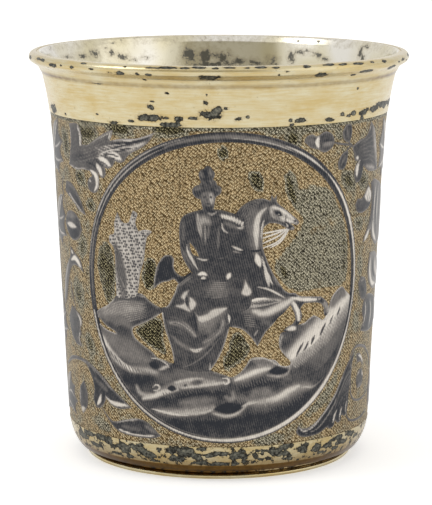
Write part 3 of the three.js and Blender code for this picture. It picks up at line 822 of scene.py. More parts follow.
SKYLINE = [
    [(-27.9, 31.9), (-26, 33), (-24.2, 33.8), (-22.6, 35), (-21.4, 36.2), (-19.8, 36.7), (-17.6, 36.9),
     (-15.4, 37), (-13.8, 35.8), (-12.2, 34.9), (-10.8, 34.4)],
    [(-11.6, 33.4), (-13.6, 32.1), (-15.8, 31), (-17.7, 30), (-17.4, 28.4), (-15.6, 27), (-13.6, 25.8),
     (-12.4, 24.7), (-10.6, 24.2), (-9.8, 23.8)],
    [(-7, 23.8), (-3, 23.4), (-1.4, 22.6), (1.2, 21.7), (2.6, 21.3), (4.2, 22.2), (5.4, 23.6),
     (6.3, 24.9), (8.6, 25), (10, 24.5)],
    [(11.4, 24.2), (12.6, 23.1), (14.2, 22.9), (14.7, 23.6), (13.4, 25), (12.3, 26.4), (12, 28),
     (12.5, 29.6), (14.2, 29.6)],
    [(16, 30.8), (17.6, 31.1), (18.6, 31.8), (19.8, 32.3), (21, 31.8), (22.2, 31.2), (23.2, 32.4),
     (23.8, 34.2), (24.6, 35.7), (26.2, 36.9), (27.4, 37.1), (28.6, 36.1), (30.2, 35)],
]
HILL_SLIT = [
    [(-27.6, 30.9), (-26.6, 30), (-24.6, 29), (-22, 28.5)],
    [(-22.4, 28.9), (-24.8, 29.8), (-26.4, 30.9), (-27.6, 30.9)],
]
HILL_MARKS = [
    glow(0.5, 3, (-26.4, 31.8), (-22, 33.2), (-16, 34.2)),
    brush(0.62, 0.3, (-26.8, 32.3), (-24.4, 33.4), (-21.8, 35.4)),
    *hatch(0.62, 0.2, 10, [(-25.8, 32.4), (-20.6, 35), (-14.6, 35.4)],
           [(-21.6, 30), (-18.8, 31.2), (-14.4, 32.6)]),
    brush(0.62, 0.3, (-16.6, 36.6), (-14.4, 36.4), (-13.2, 35.6)),
    glow(0.36, 1.6, (-24, 31.2), (-20, 31.2), (-17.6, 29.6)),
    glow(0.42, 4.4, (-24.9, 27.6), (-19.4, 25.4), (-15, 24.2)),
    glow(0.92, 1.4, (-25.5, 27.2), (-23.9, 25), (-21.6, 23.2), (-18.7, 21.9), (-16.2, 21.5)),
    brush(0.88, 0.5, (-25.4, 26.8), (-23.9, 24.9), (-22, 23.4)),
    glow(0.6, 1.5, (-17.6, 22), (-14.6, 21.9), (-12.4, 21.6)),
    *hatch(0.3, 0.2, 16, [(-24.6, 25.6), (-23.6, 23.8)], [(-20.4, 22.8), (-19.4, 21.2)],
           [(-14.6, 22), (-13.8, 20.6)]),
    brush(0.25, 0.7, (-21.6, 24.1), (-19.6, 23.1), (-17.8, 22.5)),
    brush(0.32, 0.5, (-23.4, 26), (-21.8, 24.9)),
    brush(0.03, 1.7, (-14.1, 23.3), (-13.2, 23.2), (-12.2, 23)),
    brush(0.85, 0.35, (-13.8, 24.5), (-12, 24.4), (-10.4, 23.5), (-9.9, 22.8)),
    glow(0.7, 0.7, (-12, 22.3), (-10.7, 22.9), (-10.1, 23.2)),
    glow(0.3, 2.4, (-12, 20.6), (-6, 22), (0, 21.7)),
    glow(0.05, 2.6, (-13, 15.9), (-8, 17.2), (-3, 17.8), (0.6, 18.2)),
    glow(0.05, 2.2, (-20, 19.6), (-16, 19.8), (-13.6, 20.4)),
    glow(0.6, 1, (-17.2, 18.6), (-16.7, 17.5), (-15.6, 17), (-13.9, 17.3)),
    brush(0.85, 0.35, (-13.6, 18.6), (-12.8, 19.3), (-12, 18.9), (-12.5, 18.2), (-13.4, 18.1)),
    glow(0.6, 1.8, (-12.6, 17.6), (-9.6, 18.9), (-6.4, 19.9), (-3, 20.3), (1.2, 20.3)),
    glow(0.85, 1, (-15.8, 16.2), (-13.2, 17), (-11.2, 17.8), (-8.4, 18.6)),
    glow(0.78, 0.7, (-7.4, 19), (-4, 19.5), (-1.1, 19.9), (1.2, 20.2)),
    glow(0.75, 0.6, (-8.8, 20), (-6, 20.7), (-3.2, 21)),
    *hatch(0.3, 0.2, 24, [(-11.4, 17.8), (-10.6, 16.6)], [(-4.6, 19.3), (-4, 18)],
           [(1, 19.9), (1.6, 18.6)]),
    brush(0.03, 1.2, (-10.3, 18.7), (-9.4, 18.8), (-8.6, 18.7)),
    brush(0.2, 0.5, (-7, 19.5), (-6.4, 19.6)),
    glow(0.26, 1, (-5.2, 20), (-4.4, 20.2), (-3.6, 20.3)),
    brush(0.9, 0.45, (0.7, 21.1), (1.6, 21.1), (2, 20.4), (1.3, 19.9), (0.8, 20.5)),
    glow(0.4, 1.8, (-7.6, 16), (-4.2, 16.4), (-1, 16.8)),
    glow(0.62, 1.6, (-12.6, 14.1), (-9, 14), (-5, 14.4), (-1.2, 15.4)),
    brush(0.86, 0.5, (-14, 14.4), (-11.6, 14), (-8.7, 13.6), (-6.1, 13.5)),
    glow(0.75, 0.7, (-7.6, 13.8), (-3.4, 14.2), (-0.8, 15)),
    glow(0.02, 2.4, (-12, 11.6), (-4, 11.8), (4, 12.2), (12, 13.4), (20, 16.6)),
    *hatch(0.26, 0.2, 30, [(-12, 13.6), (-11.6, 12.6)], [(-6, 13.4), (-5.8, 12.2)],
           [(-0.6, 13.6), (-0.4, 12.4)], [(5, 14.8), (5.4, 13.2)]),
    glow(0.7, 0.9, (-1.2, 14.2), (1.3, 13.6), (3.5, 14.1), (5.8, 15.8)),
    area(0, (-1.1, 14.9), (0.3, 15.8), (2, 16.2), (4, 15.8), (4.7, 15.2), (3.6, 14.4), (1.6, 14)),
    glow(0.5, 1, (1.4, 17.4), (2.1, 16.9), (2.9, 17.2), (2.8, 18.3)),
    glow(0.42, 1.8, (6.6, 17.4), (8, 18.8), (10.2, 18.2)),
    glow(0.6, 2.2, (6, 16.2), (10, 16.3), (13.2, 17), (16.2, 18.2), (19.4, 18.2)),
    glow(0.85, 1.1, (9.8, 16.4), (12.3, 16.9), (14.3, 17.9), (16.6, 18.7)),
    brush(0.75, 0.6, (4.5, 15.4), (6.2, 16), (7.8, 16.2)),
    brush(0.75, 0.45, (17.5, 18.4), (20.2, 18.1), (22.2, 19.1), (22.8, 19.8)),
    *hatch(0.3, 0.2, 26, [(6, 15.6), (6.4, 14.2)], [(11, 15.6), (11.6, 13.8)],
           [(16.4, 17), (17.2, 15.2)], [(20.6, 17.8), (21.6, 16.2)]),
    *hatch(0.5, 0.2, 6, [(7, 18.6), (8.6, 17.2)], [(9.4, 18.9), (11.2, 17)]),
    *hatch(0.45, 0.2, 5, [(3, 17.6), (4.4, 16)], [(4.6, 18), (6.2, 16.4)]),
    area(0.4, (6.4, 24.7), (8.9, 24.8), (11.5, 23.6), (10.2, 22.9), (7.7, 23.2)),
    glow(0.04, 1.8, (4.6, 18.9), (8, 20), (12, 20.2)),
    glow(0.66, 1.9, (3.2, 20.7), (6, 21.7), (8.6, 22.5), (10.6, 22.7)),
    glow(0.9, 0.8, (3.3, 20.7), (5.9, 21.7), (8, 22.4), (10.1, 22.7)),
    *hatch(0.36, 0.22, 22, [(3.4, 20.2), (3.8, 18.8)], [(9.2, 21.4), (9.8, 19.8)],
           [(14.2, 22), (15, 19.8)]),
    line(0.7, 0.32, (4.4, 22.4), (5.6, 23.9), (6.5, 24.7), (8.8, 24.8), (10.4, 24.2), (12.2, 23.1),
         (14.2, 23)),
    glow(0.6, 0.7, (9.6, 21.4), (12, 21), (13.8, 21.3), (14.6, 22.6)),
    area(0, (9.9, 22.1), (11.2, 22.9), (12.8, 22.8), (14.2, 22.1), (13.2, 21.5), (11.4, 21.4)),
    glow(0.3, 2.4, (19.6, 23.2), (24, 25.4), (28.2, 28.4)),
    glow(0.74, 5.4, (14.2, 24.8), (18.4, 27.2), (22.6, 29.8), (26.4, 32.4), (29.4, 34.4)),
    glow(0.92, 3, (13.8, 23.9), (17, 26.4), (20, 28.6), (23.1, 31), (26, 33), (29.4, 35.2)),
    *hatch(0.6, 0.3, 30, [(14.6, 23.6), (16.2, 22.2)], [(18, 26.4), (20.4, 24.2)],
           [(23, 30), (25.4, 27.6)], [(28.6, 33.8), (30, 32)]),
    brush(1, 0.9, (14.2, 24), (15.8, 25.2), (17.9, 26.9)),
    brush(1, 0.9, (18, 25.9), (19.8, 27.2), (21.9, 28.6)),
    brush(1, 0.9, (20.9, 28.8), (23.4, 30.6), (26.4, 32.8)),
    brush(0.15, 0.5, (15.9, 24.6), (16.4, 25.7), (17.5, 27.3)),
    brush(0.2, 0.4, (17.6, 25.6), (18.2, 26.4), (18.6, 27.4)),
    brush(0.15, 0.5, (19.3, 26.6), (19.6, 27.4), (20.1, 28.4)),
    brush(0.15, 0.5, (21.4, 28), (22, 29.2), (22.9, 30.6)),
    brush(0.2, 0.4, (23.9, 29.9), (24.3, 30.9), (24.9, 31.8)),
    brush(0.2, 0.4, (26, 31.5), (26.4, 32.3), (26.9, 33.2)),
    *hatch(0.3, 0.22, 10, [(19.4, 24), (23.8, 26.4), (28.6, 30.6)],
           [(18.8, 20.8), (23.2, 22.6), (26.8, 26)]),
    glow(0.38, 2.2, (24.8, 34.2), (26.6, 36), (28, 35.6)),
    glow(0.2, 2.4, (12.8, 28.8), (13.4, 27.4), (14.6, 28.8), (16.6, 30.2)),
    brush(0.6, 0.35, (12.5, 26.8), (12.4, 28.2), (13, 29.4)),
    glow(0.08, 2.6, (-12, 11.4), (0, 11), (14, 12.8), (23, 19)),
]

REINS = [
    [(13.2, 49.9), (11, 49.6), (8.2, 49.2)], [(13.4, 50), (11.2, 49.2), (8.2, 48.3)],
    [(13.4, 50), (11.4, 48.6), (8.3, 47.3)], [(13.6, 50.1), (11.4, 47.6), (8.4, 46.4)],
    [(13.7, 50.1), (12, 47.6), (9.8, 46.4)],
]
REIN_WIDTH = 0.32
REIN_TONE = 0.9

# Leaves on the front's right half panel: outline, starting tone and marks

RIGHT_LEAVES = {
    "bud": ([
        [(16.1, 66.5), (16.6, 67.5), (17.8, 67.8), (18.9, 67.4), (20.8, 68.2), (22.5, 67.4), (23.1, 66),
         (22.5, 64.8), (20.8, 64.1), (19, 64.9), (17.7, 65.2), (16.1, 66.5)],
    ], 0.2, [
        glow(0.34, 1, (16.8, 66.6), (18.2, 66.4)),
        brush(0.97, 0.9, (19.3, 67.5), (18.9, 66.3), (19.4, 65)),
        glow(0.5, 0.9, (20.4, 65.6), (22.6, 65.8)),
        brush(0.1, 0.5, (20.2, 66.4), (22.8, 66.4)),
    ]),
    "upper_leaflet": ([
        [(27.3, 65.3), (25.7, 66.1), (25.1, 67.7), (25.8, 69.1)],
        [(27.3, 69), (27.8, 67.1), (27.3, 65.3)],
    ], 0.14, [
        glow(0.3, 0.7, (26, 68.4), (26.8, 66.4)),
    ]),
    "lower_leaflet": ([
        [(27, 64.1), (25.4, 63.4), (24.4, 61.8), (24.7, 60.4)], [(26.2, 60.5), (27, 62.1), (27, 64.1)],
    ], 0.14, [
        glow(0.3, 0.7, (25.2, 61.4), (26.2, 63)),
    ]),
    "acanthus": ([
        [(28.2, 64.6), (30.4, 65.6), (32.2, 65.9), (33.4, 66.5)], [(33.8, 67.4), (34.2, 69)],
        [(36.4, 67.2), (38.2, 63.6), (39.6, 58.8)], [(37, 58.8), (34.6, 59.2), (32.6, 60.4)],
        [(32.4, 59), (31.6, 57.6), (30.2, 57.2)], [(29.5, 58.6), (29.6, 60.4), (30.6, 61.4)],
        [(29.4, 61.8), (29, 63), (28.2, 64.6)],
    ], 0.17, [
        line(0.72, 0.3, (28.6, 64.8), (31, 65.7), (33.2, 66.5)),
        brush(0.72, 0.4, (33.8, 67), (34.2, 68.4)),
        *hatch(0.32, 0.24, 6, [(30.2, 64.8), (33.6, 65.6), (36.4, 66.4)],
               [(32, 61.6), (35, 61.4), (38.8, 59.6)]),
        brush(0.12, 0.7, (31.4, 61.4), (32.2, 60.6), (31.8, 59.2)),
        brush(0.98, 1, (31, 61.6), (30.2, 60.4), (30.2, 58.4)),
        brush(0.9, 0.8, (29.6, 62.4), (30.4, 62)),
        glow(0.6, 1, (33.6, 60.2), (37.6, 59.4)),
        glow(0.6, 1.6, (35.4, 68), (37.4, 64), (39.2, 59.6)),
    ]),
    "side_bud": ([
        [(30.4, 52.9), (31.2, 54), (33, 54), (35.4, 56.4)],
        [(37, 54.6), (36.8, 52.3), (34.8, 51.3), (32.6, 51), (31, 51.6), (30.4, 52.9)],
    ], 0.16, [
        area(0.92, (33.5, 54.2), (35.3, 55.9), (36.7, 54.4), (36.3, 52.9), (34.6, 53.2)),
        brush(0.4, 0.25, (34.4, 54.6), (35.4, 53)),
        brush(0.4, 0.25, (35.2, 55.2), (36, 53.4)),
    ]),
    "tall_leaf": ([
        [(40.4, 56.6), (38.4, 57.1), (36.5, 56.5)],
        [(37.4, 53.6), (37.3, 50.4), (36.4, 48.2), (34.9, 46.4), (34.1, 45)],
        [(35.4, 45.2), (36.6, 46), (37.6, 47.2)], [(38.4, 45.6), (40.2, 44.2), (42.4, 43.3)],
        [(45.6, 43.6), (47.8, 45.2)], [(47.4, 49), (46, 53.4), (43.6, 55.6), (40.4, 56.6)],
    ], 0.34, [
        glow(0.1, 1.5, (37.4, 56.2), (38, 52), (37.2, 48.6)),
        brush(0.96, 0.9, (36.6, 47.2), (35.6, 46.2), (34.6, 45.3)),
        brush(0.92, 1, (38.7, 48.6), (39.5, 46), (41.8, 44.2)),
        *hatch(0.8, 0.5, 4, [(39.4, 56), (39, 51.6), (39.2, 48)], [(45, 54), (45.8, 50), (45.6, 46)]),
        brush(0.02, 0.7, (40.6, 56), (40.2, 50), (41.4, 45.6)),
        brush(0.02, 0.7, (43, 55.4), (43.4, 50), (43.8, 45)),
    ]),
    "wide_leaf": ([
        [(38.2, 42.4), (37.5, 39.1), (38.8, 36.1), (42.7, 34.3), (49, 34.9)],
        [(46.8, 38.7), (43.2, 41.7), (38.2, 42.4)],
    ], 0.4, [
        brush(0.9, 1, (38.6, 41.4), (38.6, 38.6), (40.4, 36), (44, 35.2)),
        brush(0.02, 0.9, (40.4, 41.4), (40.8, 38.4), (43.4, 36.4)),
        brush(0.85, 1.2, (42.4, 40.8), (43, 38.6), (45.4, 36.6)),
    ]),
    "small_leaf": ([
        [(33.1, 36.9), (34.3, 38.1), (36.2, 37.6)], [(37.2, 36), (37.6, 34.3)],
        [(36.2, 33.2), (34.3, 34.1), (33.1, 36.9)],
    ], 0.2, [
        brush(0.08, 0.8, (34, 36.2), (35.8, 35)),
        brush(0.5, 0.4, (33.8, 37.2), (35.6, 37.4)),
    ]),
    "foot_leaf": ([
        [(33.2, 23.4), (31, 21.7), (28.6, 18.7), (26.2, 15.3), (23, 12.1), (20.2, 10.2), (18, 9.9),
         (16.9, 10.6)],
        [(16.5, 9.2), (18.2, 8.2), (21.8, 8.3), (24.6, 9.3)], [(25.4, 8.8), (26.6, 9.2), (27, 10.2)],
        [(28, 9.6), (29, 10), (29.2, 11)], [(30.4, 10.6), (31, 11.4), (31.4, 12.8)],
        [(31.6, 15.6), (32, 19.5), (33.2, 23.4)],
    ], 0.06, [
        line(0.85, 0.36, (17.2, 10.2), (18.2, 9.4), (20.6, 10), (23.2, 12.1), (26.2, 15.2),
             (28.6, 18.6)),
        brush(0.5, 0.3, (18.6, 8.8), (22, 9.6), (25.4, 12.6), (28, 16)),
        *hatch(0.35, 0.22, 6, [(24.6, 11.4), (27.6, 15), (31.6, 22)],
               [(30.4, 12.4), (30.8, 16), (32.4, 22)]),
        brush(0.9, 0.5, (26.2, 9.8), (26.6, 11.2), (27.4, 12.4)),
        brush(0.9, 0.45, (28.3, 10.2), (28.5, 11.4), (29, 12.8)),
        brush(0.75, 0.4, (30.4, 11.2), (30.4, 12.4), (30.8, 13.8)),
    ]),
    "scroll_bud": ([
        [(35.2, 15.3), (34.5, 17.1), (35.6, 18.9), (37.2, 18.9), (38.1, 17.3), (37.4, 15.5),
         (35.2, 15.3)],
    ], 0.16, [
        brush(0.9, 0.8, (34.9, 18.4), (35.8, 18.8)),
        brush(0.9, 0.8, (37.2, 18.6), (37.8, 17.4)),
        glow(0.4, 0.8, (35.4, 15.8), (37, 15.9)),
    ]),
}

# Leaves on the front's left half panel
LEFT_LEAVES = {
    "acanthus": ([
        [(-33.2, 68.7), (-30.2, 68.8), (-29.3, 66.8), (-29.4, 64.9)],
        [(-27.6, 65), (-25.2, 66.3), (-22.6, 67.8), (-20.6, 68.5)], [(-20.9, 67.4), (-21.5, 66.3)],
        [(-19, 66.9), (-15.4, 67.2), (-11.8, 68.5)],
        [(-13, 66.7), (-14.8, 65.3), (-16.6, 64.4), (-17.8, 63.4), (-18.4, 62.6), (-19.4, 62.2),
         (-20.5, 62.5)],
        [(-21.2, 61.4), (-22.4, 60.8), (-23.1, 61.1)],
        [(-23, 59.8), (-23.6, 58.9), (-24.5, 59.1), (-25, 60.2)],
        [(-24.8, 58.6), (-24.9, 57.2), (-25.6, 56), (-26.8, 55.7), (-27.9, 56.2), (-28.3, 57.4),
         (-27.6, 58.6), (-26.8, 59), (-27.4, 59.9)],
        [(-29.6, 60), (-32, 59.7), (-34.8, 60.4)], [(-34.1, 62.6), (-33.4, 65), (-33.2, 68.7)],
    ], 0.25, [
        line(0.97, 0.65, (-30, 68.4), (-29.5, 66.8), (-29.7, 64.8)),
        brush(0.62, 0.5, (-32.9, 68.4), (-33, 66.2), (-33.4, 63.8)),
        line(0.78, 0.3, (-28.4, 64.9), (-25.2, 66.1), (-22.4, 67.4), (-20.9, 68.1)),
        brush(0.8, 0.5, (-21.2, 67.6), (-21.6, 66.6)),
        brush(0.05, 0.8, (-20.8, 65.9), (-16.8, 66.1), (-13, 67.4)),
        line(0.92, 0.36, (-21, 66.5), (-16.4, 66.8), (-12.4, 68.1)),
        glow(0.8, 1, (-19.8, 64.9), (-16.8, 65.2), (-13.8, 66.4)),
        *hatch(0.75, 0.24, 6, [(-26.6, 62.4), (-24, 62.9), (-21.4, 62.9)],
               [(-25.4, 64.6), (-20.6, 65.5), (-15.4, 66.2)]),
        brush(0.08, 0.3, (-23.4, 64.2), (-18.8, 65.5), (-14.4, 66.7)),
        brush(0.08, 0.28, (-22.6, 63.9), (-18.6, 64.9), (-15.4, 65.4)),
        brush(0.85, 0.4, (-24.4, 63.4), (-21, 64.6), (-17.4, 64.6)),
        brush(0.12, 0.4, (-23, 63), (-20.2, 64.2), (-17.2, 64.9)),
        brush(0.97, 1.4, (-22.4, 63.4), (-20.4, 63.6), (-18.9, 62.8)),
        brush(0.1, 0.3, (-23.8, 63.2), (-21.4, 63.7), (-19.2, 63.3)),
        brush(0.1, 0.26, (-23.6, 62.8), (-21.4, 63.1), (-19.8, 62.6)),
        brush(0.95, 1.3, (-24.6, 62.8), (-23, 62.2), (-21.5, 61.4)),
        brush(0.2, 0.3, (-24.8, 62.2), (-23.4, 61.9), (-22.2, 61.4)),
        brush(0.15, 0.4, (-25.4, 62.4), (-24.4, 61.6), (-23.4, 61.2)),
        brush(0.95, 1.3, (-25.2, 61.6), (-24.5, 60.4), (-23.8, 59.3)),
        brush(0.12, 0.5, (-28.4, 61.4), (-26.4, 61.4), (-25.2, 60.4)),
        brush(1, 1, (-27.2, 60.2), (-25.6, 59.3), (-25.2, 57.6), (-26.2, 56.1)),
        brush(0.75, 0.4, (-27.6, 58.2), (-27, 57.8)),
        line(0.8, 0.3, (-34, 60.3), (-31.2, 60), (-28.6, 60.2)),
        glow(0.17, 1.8, (-32.8, 62), (-28, 62.6), (-25, 63.6)),
        *hatch(0.38, 0.2, 5, [(-32.6, 61), (-27.4, 62.2), (-23, 64.2)],
               [(-28.8, 64.4), (-25.2, 65.6), (-21.8, 67)]),
    ]),
    "slanted_leaf": ([
        [(-36.6, 57), (-34, 56.6), (-31.4, 54.4), (-29.3, 50.9)],
        [(-31.7, 51.7), (-34.2, 53.3), (-37.2, 54.9), (-36.6, 57)],
    ], 0.14, [
        line(0.75, 0.35, (-35.2, 54.6), (-31.9, 52.5), (-29.8, 51)),
        glow(0.3, 0.6, (-35.6, 56.4), (-33.2, 55.8), (-31.2, 53.8)),
    ]),
    "bud": ([
        [(-31, 47.8), (-32.5, 45.9), (-35.2, 45.4), (-37.4, 46.8), (-38.2, 48.8), (-36.8, 50.8),
         (-34.1, 51.1), (-31.9, 49.8), (-31, 47.8)],
    ], 0.14, [
        glow(0.36, 1.2, (-36.8, 50.2), (-33.2, 50.3)),
        brush(0.85, 1.2, (-37.2, 48.4), (-35, 48.3), (-33, 48.2)),
        glow(0.05, 1.6, (-36, 46.6), (-32.6, 46.8)),
    ]),
    "scroll": ([
        [(-31.2, 39.2), (-32.2, 41.6), (-34.4, 42.8), (-36.4, 44)],
        [(-37, 41.7), (-39.2, 39.7), (-41.4, 36.1), (-42.8, 31)],
        [(-40.4, 32.9), (-38.6, 36.5), (-37, 39.1), (-35.2, 40.3), (-33.2, 40.2), (-31.2, 39.2)],
    ], 0.2, [
        brush(0.98, 1.1, (-36.2, 41.2), (-34, 41.8), (-31.8, 40.2)),
        brush(0.9, 0.7, (-36, 43.2), (-35, 42.6)),
        glow(0.6, 0.8, (-37.6, 40.6), (-40, 37.2), (-42, 32.6)),
    ]),
    "side_leaf": ([
        [(-37.4, 31.9), (-35.4, 31.2), (-33.2, 30.2), (-32.8, 28.8)], [(-33.6, 27.8), (-33.4, 26.6)],
        [(-34.2, 25.7), (-33.4, 24.2)], [(-36, 24.3), (-38.4, 26.1), (-39.4, 29.1), (-37.4, 31.9)],
    ], 0.2, [
        brush(0.85, 0.6, (-35, 30.8), (-33.5, 29.8), (-33.3, 28.4), (-33.9, 27.2)),
        brush(0.85, 0.6, (-34, 27), (-34.2, 25.6), (-33.9, 24.6)),
        brush(0.15, 1.2, (-36.8, 30.2), (-36, 27.8), (-36.4, 25.4)),
    ]),
    "foot_scroll": ([
        [(-44.6, 18.2), (-42.6, 19.8), (-39.8, 21.1), (-37.1, 21.7), (-33.7, 21.8), (-31, 21.4),
         (-27.2, 19.8), (-23.4, 17.1), (-18.6, 14)],
        [(-21.4, 13.4), (-23.6, 13.7), (-25.6, 14.9)], [(-26.4, 13.6), (-27.8, 12.6), (-29, 12.7)],
        [(-29.8, 14.2), (-29.4, 16.2), (-30, 18.4), (-31.6, 20.5), (-33.7, 21.1), (-37.1, 20.9),
         (-40.4, 20), (-44.6, 18.2)],
    ], 0.1, [
        line(0.55, 0.3, (-33, 21.3), (-30.6, 21), (-27.4, 19.5), (-23.6, 16.9)),
        brush(0.4, 0.5, (-31.4, 20.4), (-30, 20.8), (-28.4, 19.4)),
        brush(0.95, 0.9, (-25.6, 15.4), (-24.2, 14.5), (-22, 14.3), (-19.2, 14.4)),
        brush(0.95, 0.9, (-27, 15.6), (-27.5, 14.3), (-28.5, 13.1)),
        glow(0.3, 1, (-28.6, 18.4), (-25, 16.6)),
    ]),
    "foot_leaf": ([
        [(-27.6, 13.4), (-26, 12), (-24.4, 10.8), (-23, 10.7), (-20, 11.5), (-17.2, 12), (-14.8, 11.4),
         (-12, 9)],
        [(-14, 8.4), (-18, 8.3), (-21.4, 8.6), (-23.6, 9.5), (-25.6, 11.3), (-27.6, 13.4)],
    ], 0.12, [
        line(0.85, 0.32, (-22.6, 10.7), (-19.6, 11.4), (-17.4, 11.7)),
        line(0.92, 0.4, (-22, 9.2), (-18, 8.7), (-13.6, 8.9)),
        glow(0.4, 0.8, (-15.4, 10.8), (-13.4, 9.6)),
        glow(0.3, 0.8, (-21, 10), (-17, 9.8)),
    ]),
    "inner_leaf": ([
        [(-33.4, 17.3), (-32.1, 14.9), (-32.5, 12.1), (-34.6, 10.2)],
        [(-35.9, 12.7), (-35.5, 15.5), (-33.4, 17.3)],
    ], 0.16, [
        brush(0.8, 1.2, (-35.4, 10.9), (-34.4, 11.2), (-33.2, 11.6)),
        brush(0.12, 1, (-33.6, 16.2), (-33.6, 13.2)),
        brush(0.6, 0.4, (-35.4, 12.6), (-35, 15.4)),
    ]),
}

# Broad leaves beside the panel stems, which close the sides of the view

SIDE_LEAVES = [
    ([
        [(-48.4, 57.2), (-47, 61.4), (-44.8, 65.4), (-42, 68), (-38.8, 68.9)],
        [(-39.4, 67.2), (-39.4, 66), (-37.3, 64.6)], [(-38.6, 63.6), (-39.2, 62.4), (-37.6, 60.6)],
        [(-39.4, 60.2), (-40.6, 59.4), (-40.8, 57.6)], [(-43, 58.4), (-45.6, 58.2), (-48.4, 57.2)],
    ], 0.14, [
        glow(0.6, 1.8, (-46, 62), (-43.6, 66), (-41, 68)),
        brush(0.02, 0.7, (-46.8, 58.2), (-42.8, 62.8), (-39.4, 67.4)),
        line(0.85, 0.35, (-47.4, 57.8), (-44, 62.8), (-39.6, 68.2)),
        brush(0.7, 0.4, (-43.6, 62.8), (-40.8, 63.4), (-38.2, 64.6)),
        brush(0.7, 0.4, (-45, 61), (-41.8, 60.4), (-38.4, 60.9)),
        brush(0.6, 0.4, (-46.2, 59.2), (-43.4, 58.9), (-41.2, 58.2)),
    ]),
    ([
        [(-48.4, 43.2), (-47.2, 47.4), (-45, 51), (-42.4, 53.2), (-39.4, 53.8)],
        [(-39.8, 52), (-39.4, 51), (-38.2, 49.6)], [(-39.2, 48.6), (-39.4, 47.4), (-38.2, 45.6)],
        [(-40, 45.4), (-41.2, 44.8), (-41.6, 43.2)], [(-43.6, 44.2), (-45.8, 44.2), (-48.4, 43.2)],
    ], 0.14, [
        glow(0.6, 1.8, (-46, 47.8), (-43.8, 51.2), (-41.6, 52.8)),
        brush(0.02, 0.7, (-46.8, 44.2), (-43, 48.2), (-40, 52.4)),
        line(0.85, 0.35, (-47.4, 43.8), (-44.2, 48.2), (-40.2, 53.2)),
        brush(0.7, 0.4, (-43.8, 48.4), (-41.2, 48.8), (-39, 49.6)),
        brush(0.7, 0.4, (-45.2, 46.6), (-42, 45.8), (-38.8, 46)),
    ]),
    ([
        [(-48.4, 22.4), (-48, 26.6), (-47.4, 30.4), (-46.4, 32.8), (-44.8, 34.2)],
        [(-44.6, 32.4), (-44, 31), (-42.2, 29.6)], [(-42.8, 28.6), (-42.6, 27.6), (-40.8, 26.2)],
        [(-42.4, 26), (-43.6, 25.2), (-43.8, 23.2)], [(-45.4, 24), (-46.8, 23.6), (-48.4, 22.4)],
    ], 0.14, [
        glow(0.55, 1.4, (-47.2, 27.4), (-46.4, 31), (-45.4, 33.2)),
        line(0.85, 0.35, (-47.6, 23.2), (-46, 28.4), (-45, 33.4)),
        brush(0.7, 0.4, (-46, 28.2), (-44.4, 28.8), (-42.8, 29.5)),
        brush(0.7, 0.4, (-46.8, 25.8), (-44, 25.8), (-41.6, 26.4)),
    ]),
    ([
        [(-48.4, 8.6), (-47.4, 12.2), (-45.6, 15.2), (-43.6, 16.9), (-41, 17.6)],
        [(-41.2, 16.2), (-40.4, 15.4), (-38.4, 15.2)], [(-39, 14.2), (-38.8, 13.2), (-37.2, 12.2)],
        [(-38.6, 11.4), (-39, 10.4), (-38.2, 9.2)], [(-41.4, 9.8), (-44.6, 9.6), (-48.4, 8.6)],
    ], 0.12, [
        glow(0.55, 1.6, (-46, 13), (-44.2, 15.4), (-42.2, 16.8)),
        line(0.8, 0.35, (-47.2, 9.4), (-44.2, 13.4), (-41.6, 17)),
        brush(0.65, 0.4, (-44.4, 13), (-41.4, 13.6), (-38.4, 12.6)),
        brush(0.6, 0.4, (-45.8, 11), (-42.4, 10.8), (-39, 9.9)),
    ]),
    ([
        [(50.8, 56.8), (49.4, 61.2), (47, 65.2), (44.4, 67.8), (41.2, 68.9)],
        [(41.6, 66.6), (41, 65.4), (39.9, 63.6)], [(41, 62.6), (41.4, 61), (40.3, 58.8)],
        [(42.2, 59), (43.4, 58.4), (43.6, 56.8)], [(46, 57.8), (48.4, 57.8), (50.8, 56.8)],
    ], 0.36, [
        glow(0.8, 1.6, (48.4, 61.6), (46.2, 65), (43.6, 67.4)),
        brush(0.05, 0.7, (49, 58), (45.4, 62.6), (42.2, 67.4)),
        line(0.95, 0.4, (49.8, 57.6), (46.4, 62.6), (42, 68.2)),
        brush(0.9, 0.5, (46, 62.4), (43.2, 62.8), (40.6, 63.8)),
        brush(0.9, 0.5, (47.4, 60.6), (44.2, 59.6), (40.9, 59.2)),
    ]),
    ([
        [(36.2, 33), (37.8, 34), (41, 33.6), (44.6, 32.4), (47.8, 30), (50.8, 26.4)],
        [(47.2, 27.2), (43.6, 26.4), (40, 26.2), (37.2, 26.5), (35.2, 27.1)],
        [(36.5, 28.8), (35.6, 31), (36.2, 33)],
    ], 0.16, [
        brush(0.7, 0.5, (36.8, 32.8), (37.4, 30.6), (36.4, 27.6)),
        brush(0.02, 0.6, (38.4, 32.8), (39.4, 30), (38.2, 27)),
        brush(0.8, 0.6, (40, 32.8), (41.2, 29.8), (40, 26.8)),
        brush(0.02, 0.6, (41.8, 32.6), (43, 30), (41.6, 27)),
        brush(0.7, 0.5, (43.6, 32.2), (46.2, 29.8), (49.4, 27.4)),
    ]),
    ([
        [(50.8, 9), (49, 12.6), (46.8, 15.6), (44.2, 17.8)],
        [(44, 15.6), (43.2, 13.4), (43.8, 11), (45.2, 9.6)], [(47.8, 10), (50.8, 9)],
    ], 0.3, [
        line(0.8, 0.35, (49.4, 9.8), (46.8, 12.8), (44.6, 16.8)),
        brush(0.7, 0.4, (47, 12.2), (45.4, 11.6), (44.4, 11.2)),
    ]),
    ([
        [(34, 22.5), (35.8, 22.4), (37.4, 21), (37.6, 19.6)], [(36.2, 20.6), (34.6, 20.8), (34, 22.5)],
    ], 0.2, [
        brush(0.9, 0.6, (34.6, 22.2), (36.2, 21.6), (37.2, 20.4)),
    ]),
]

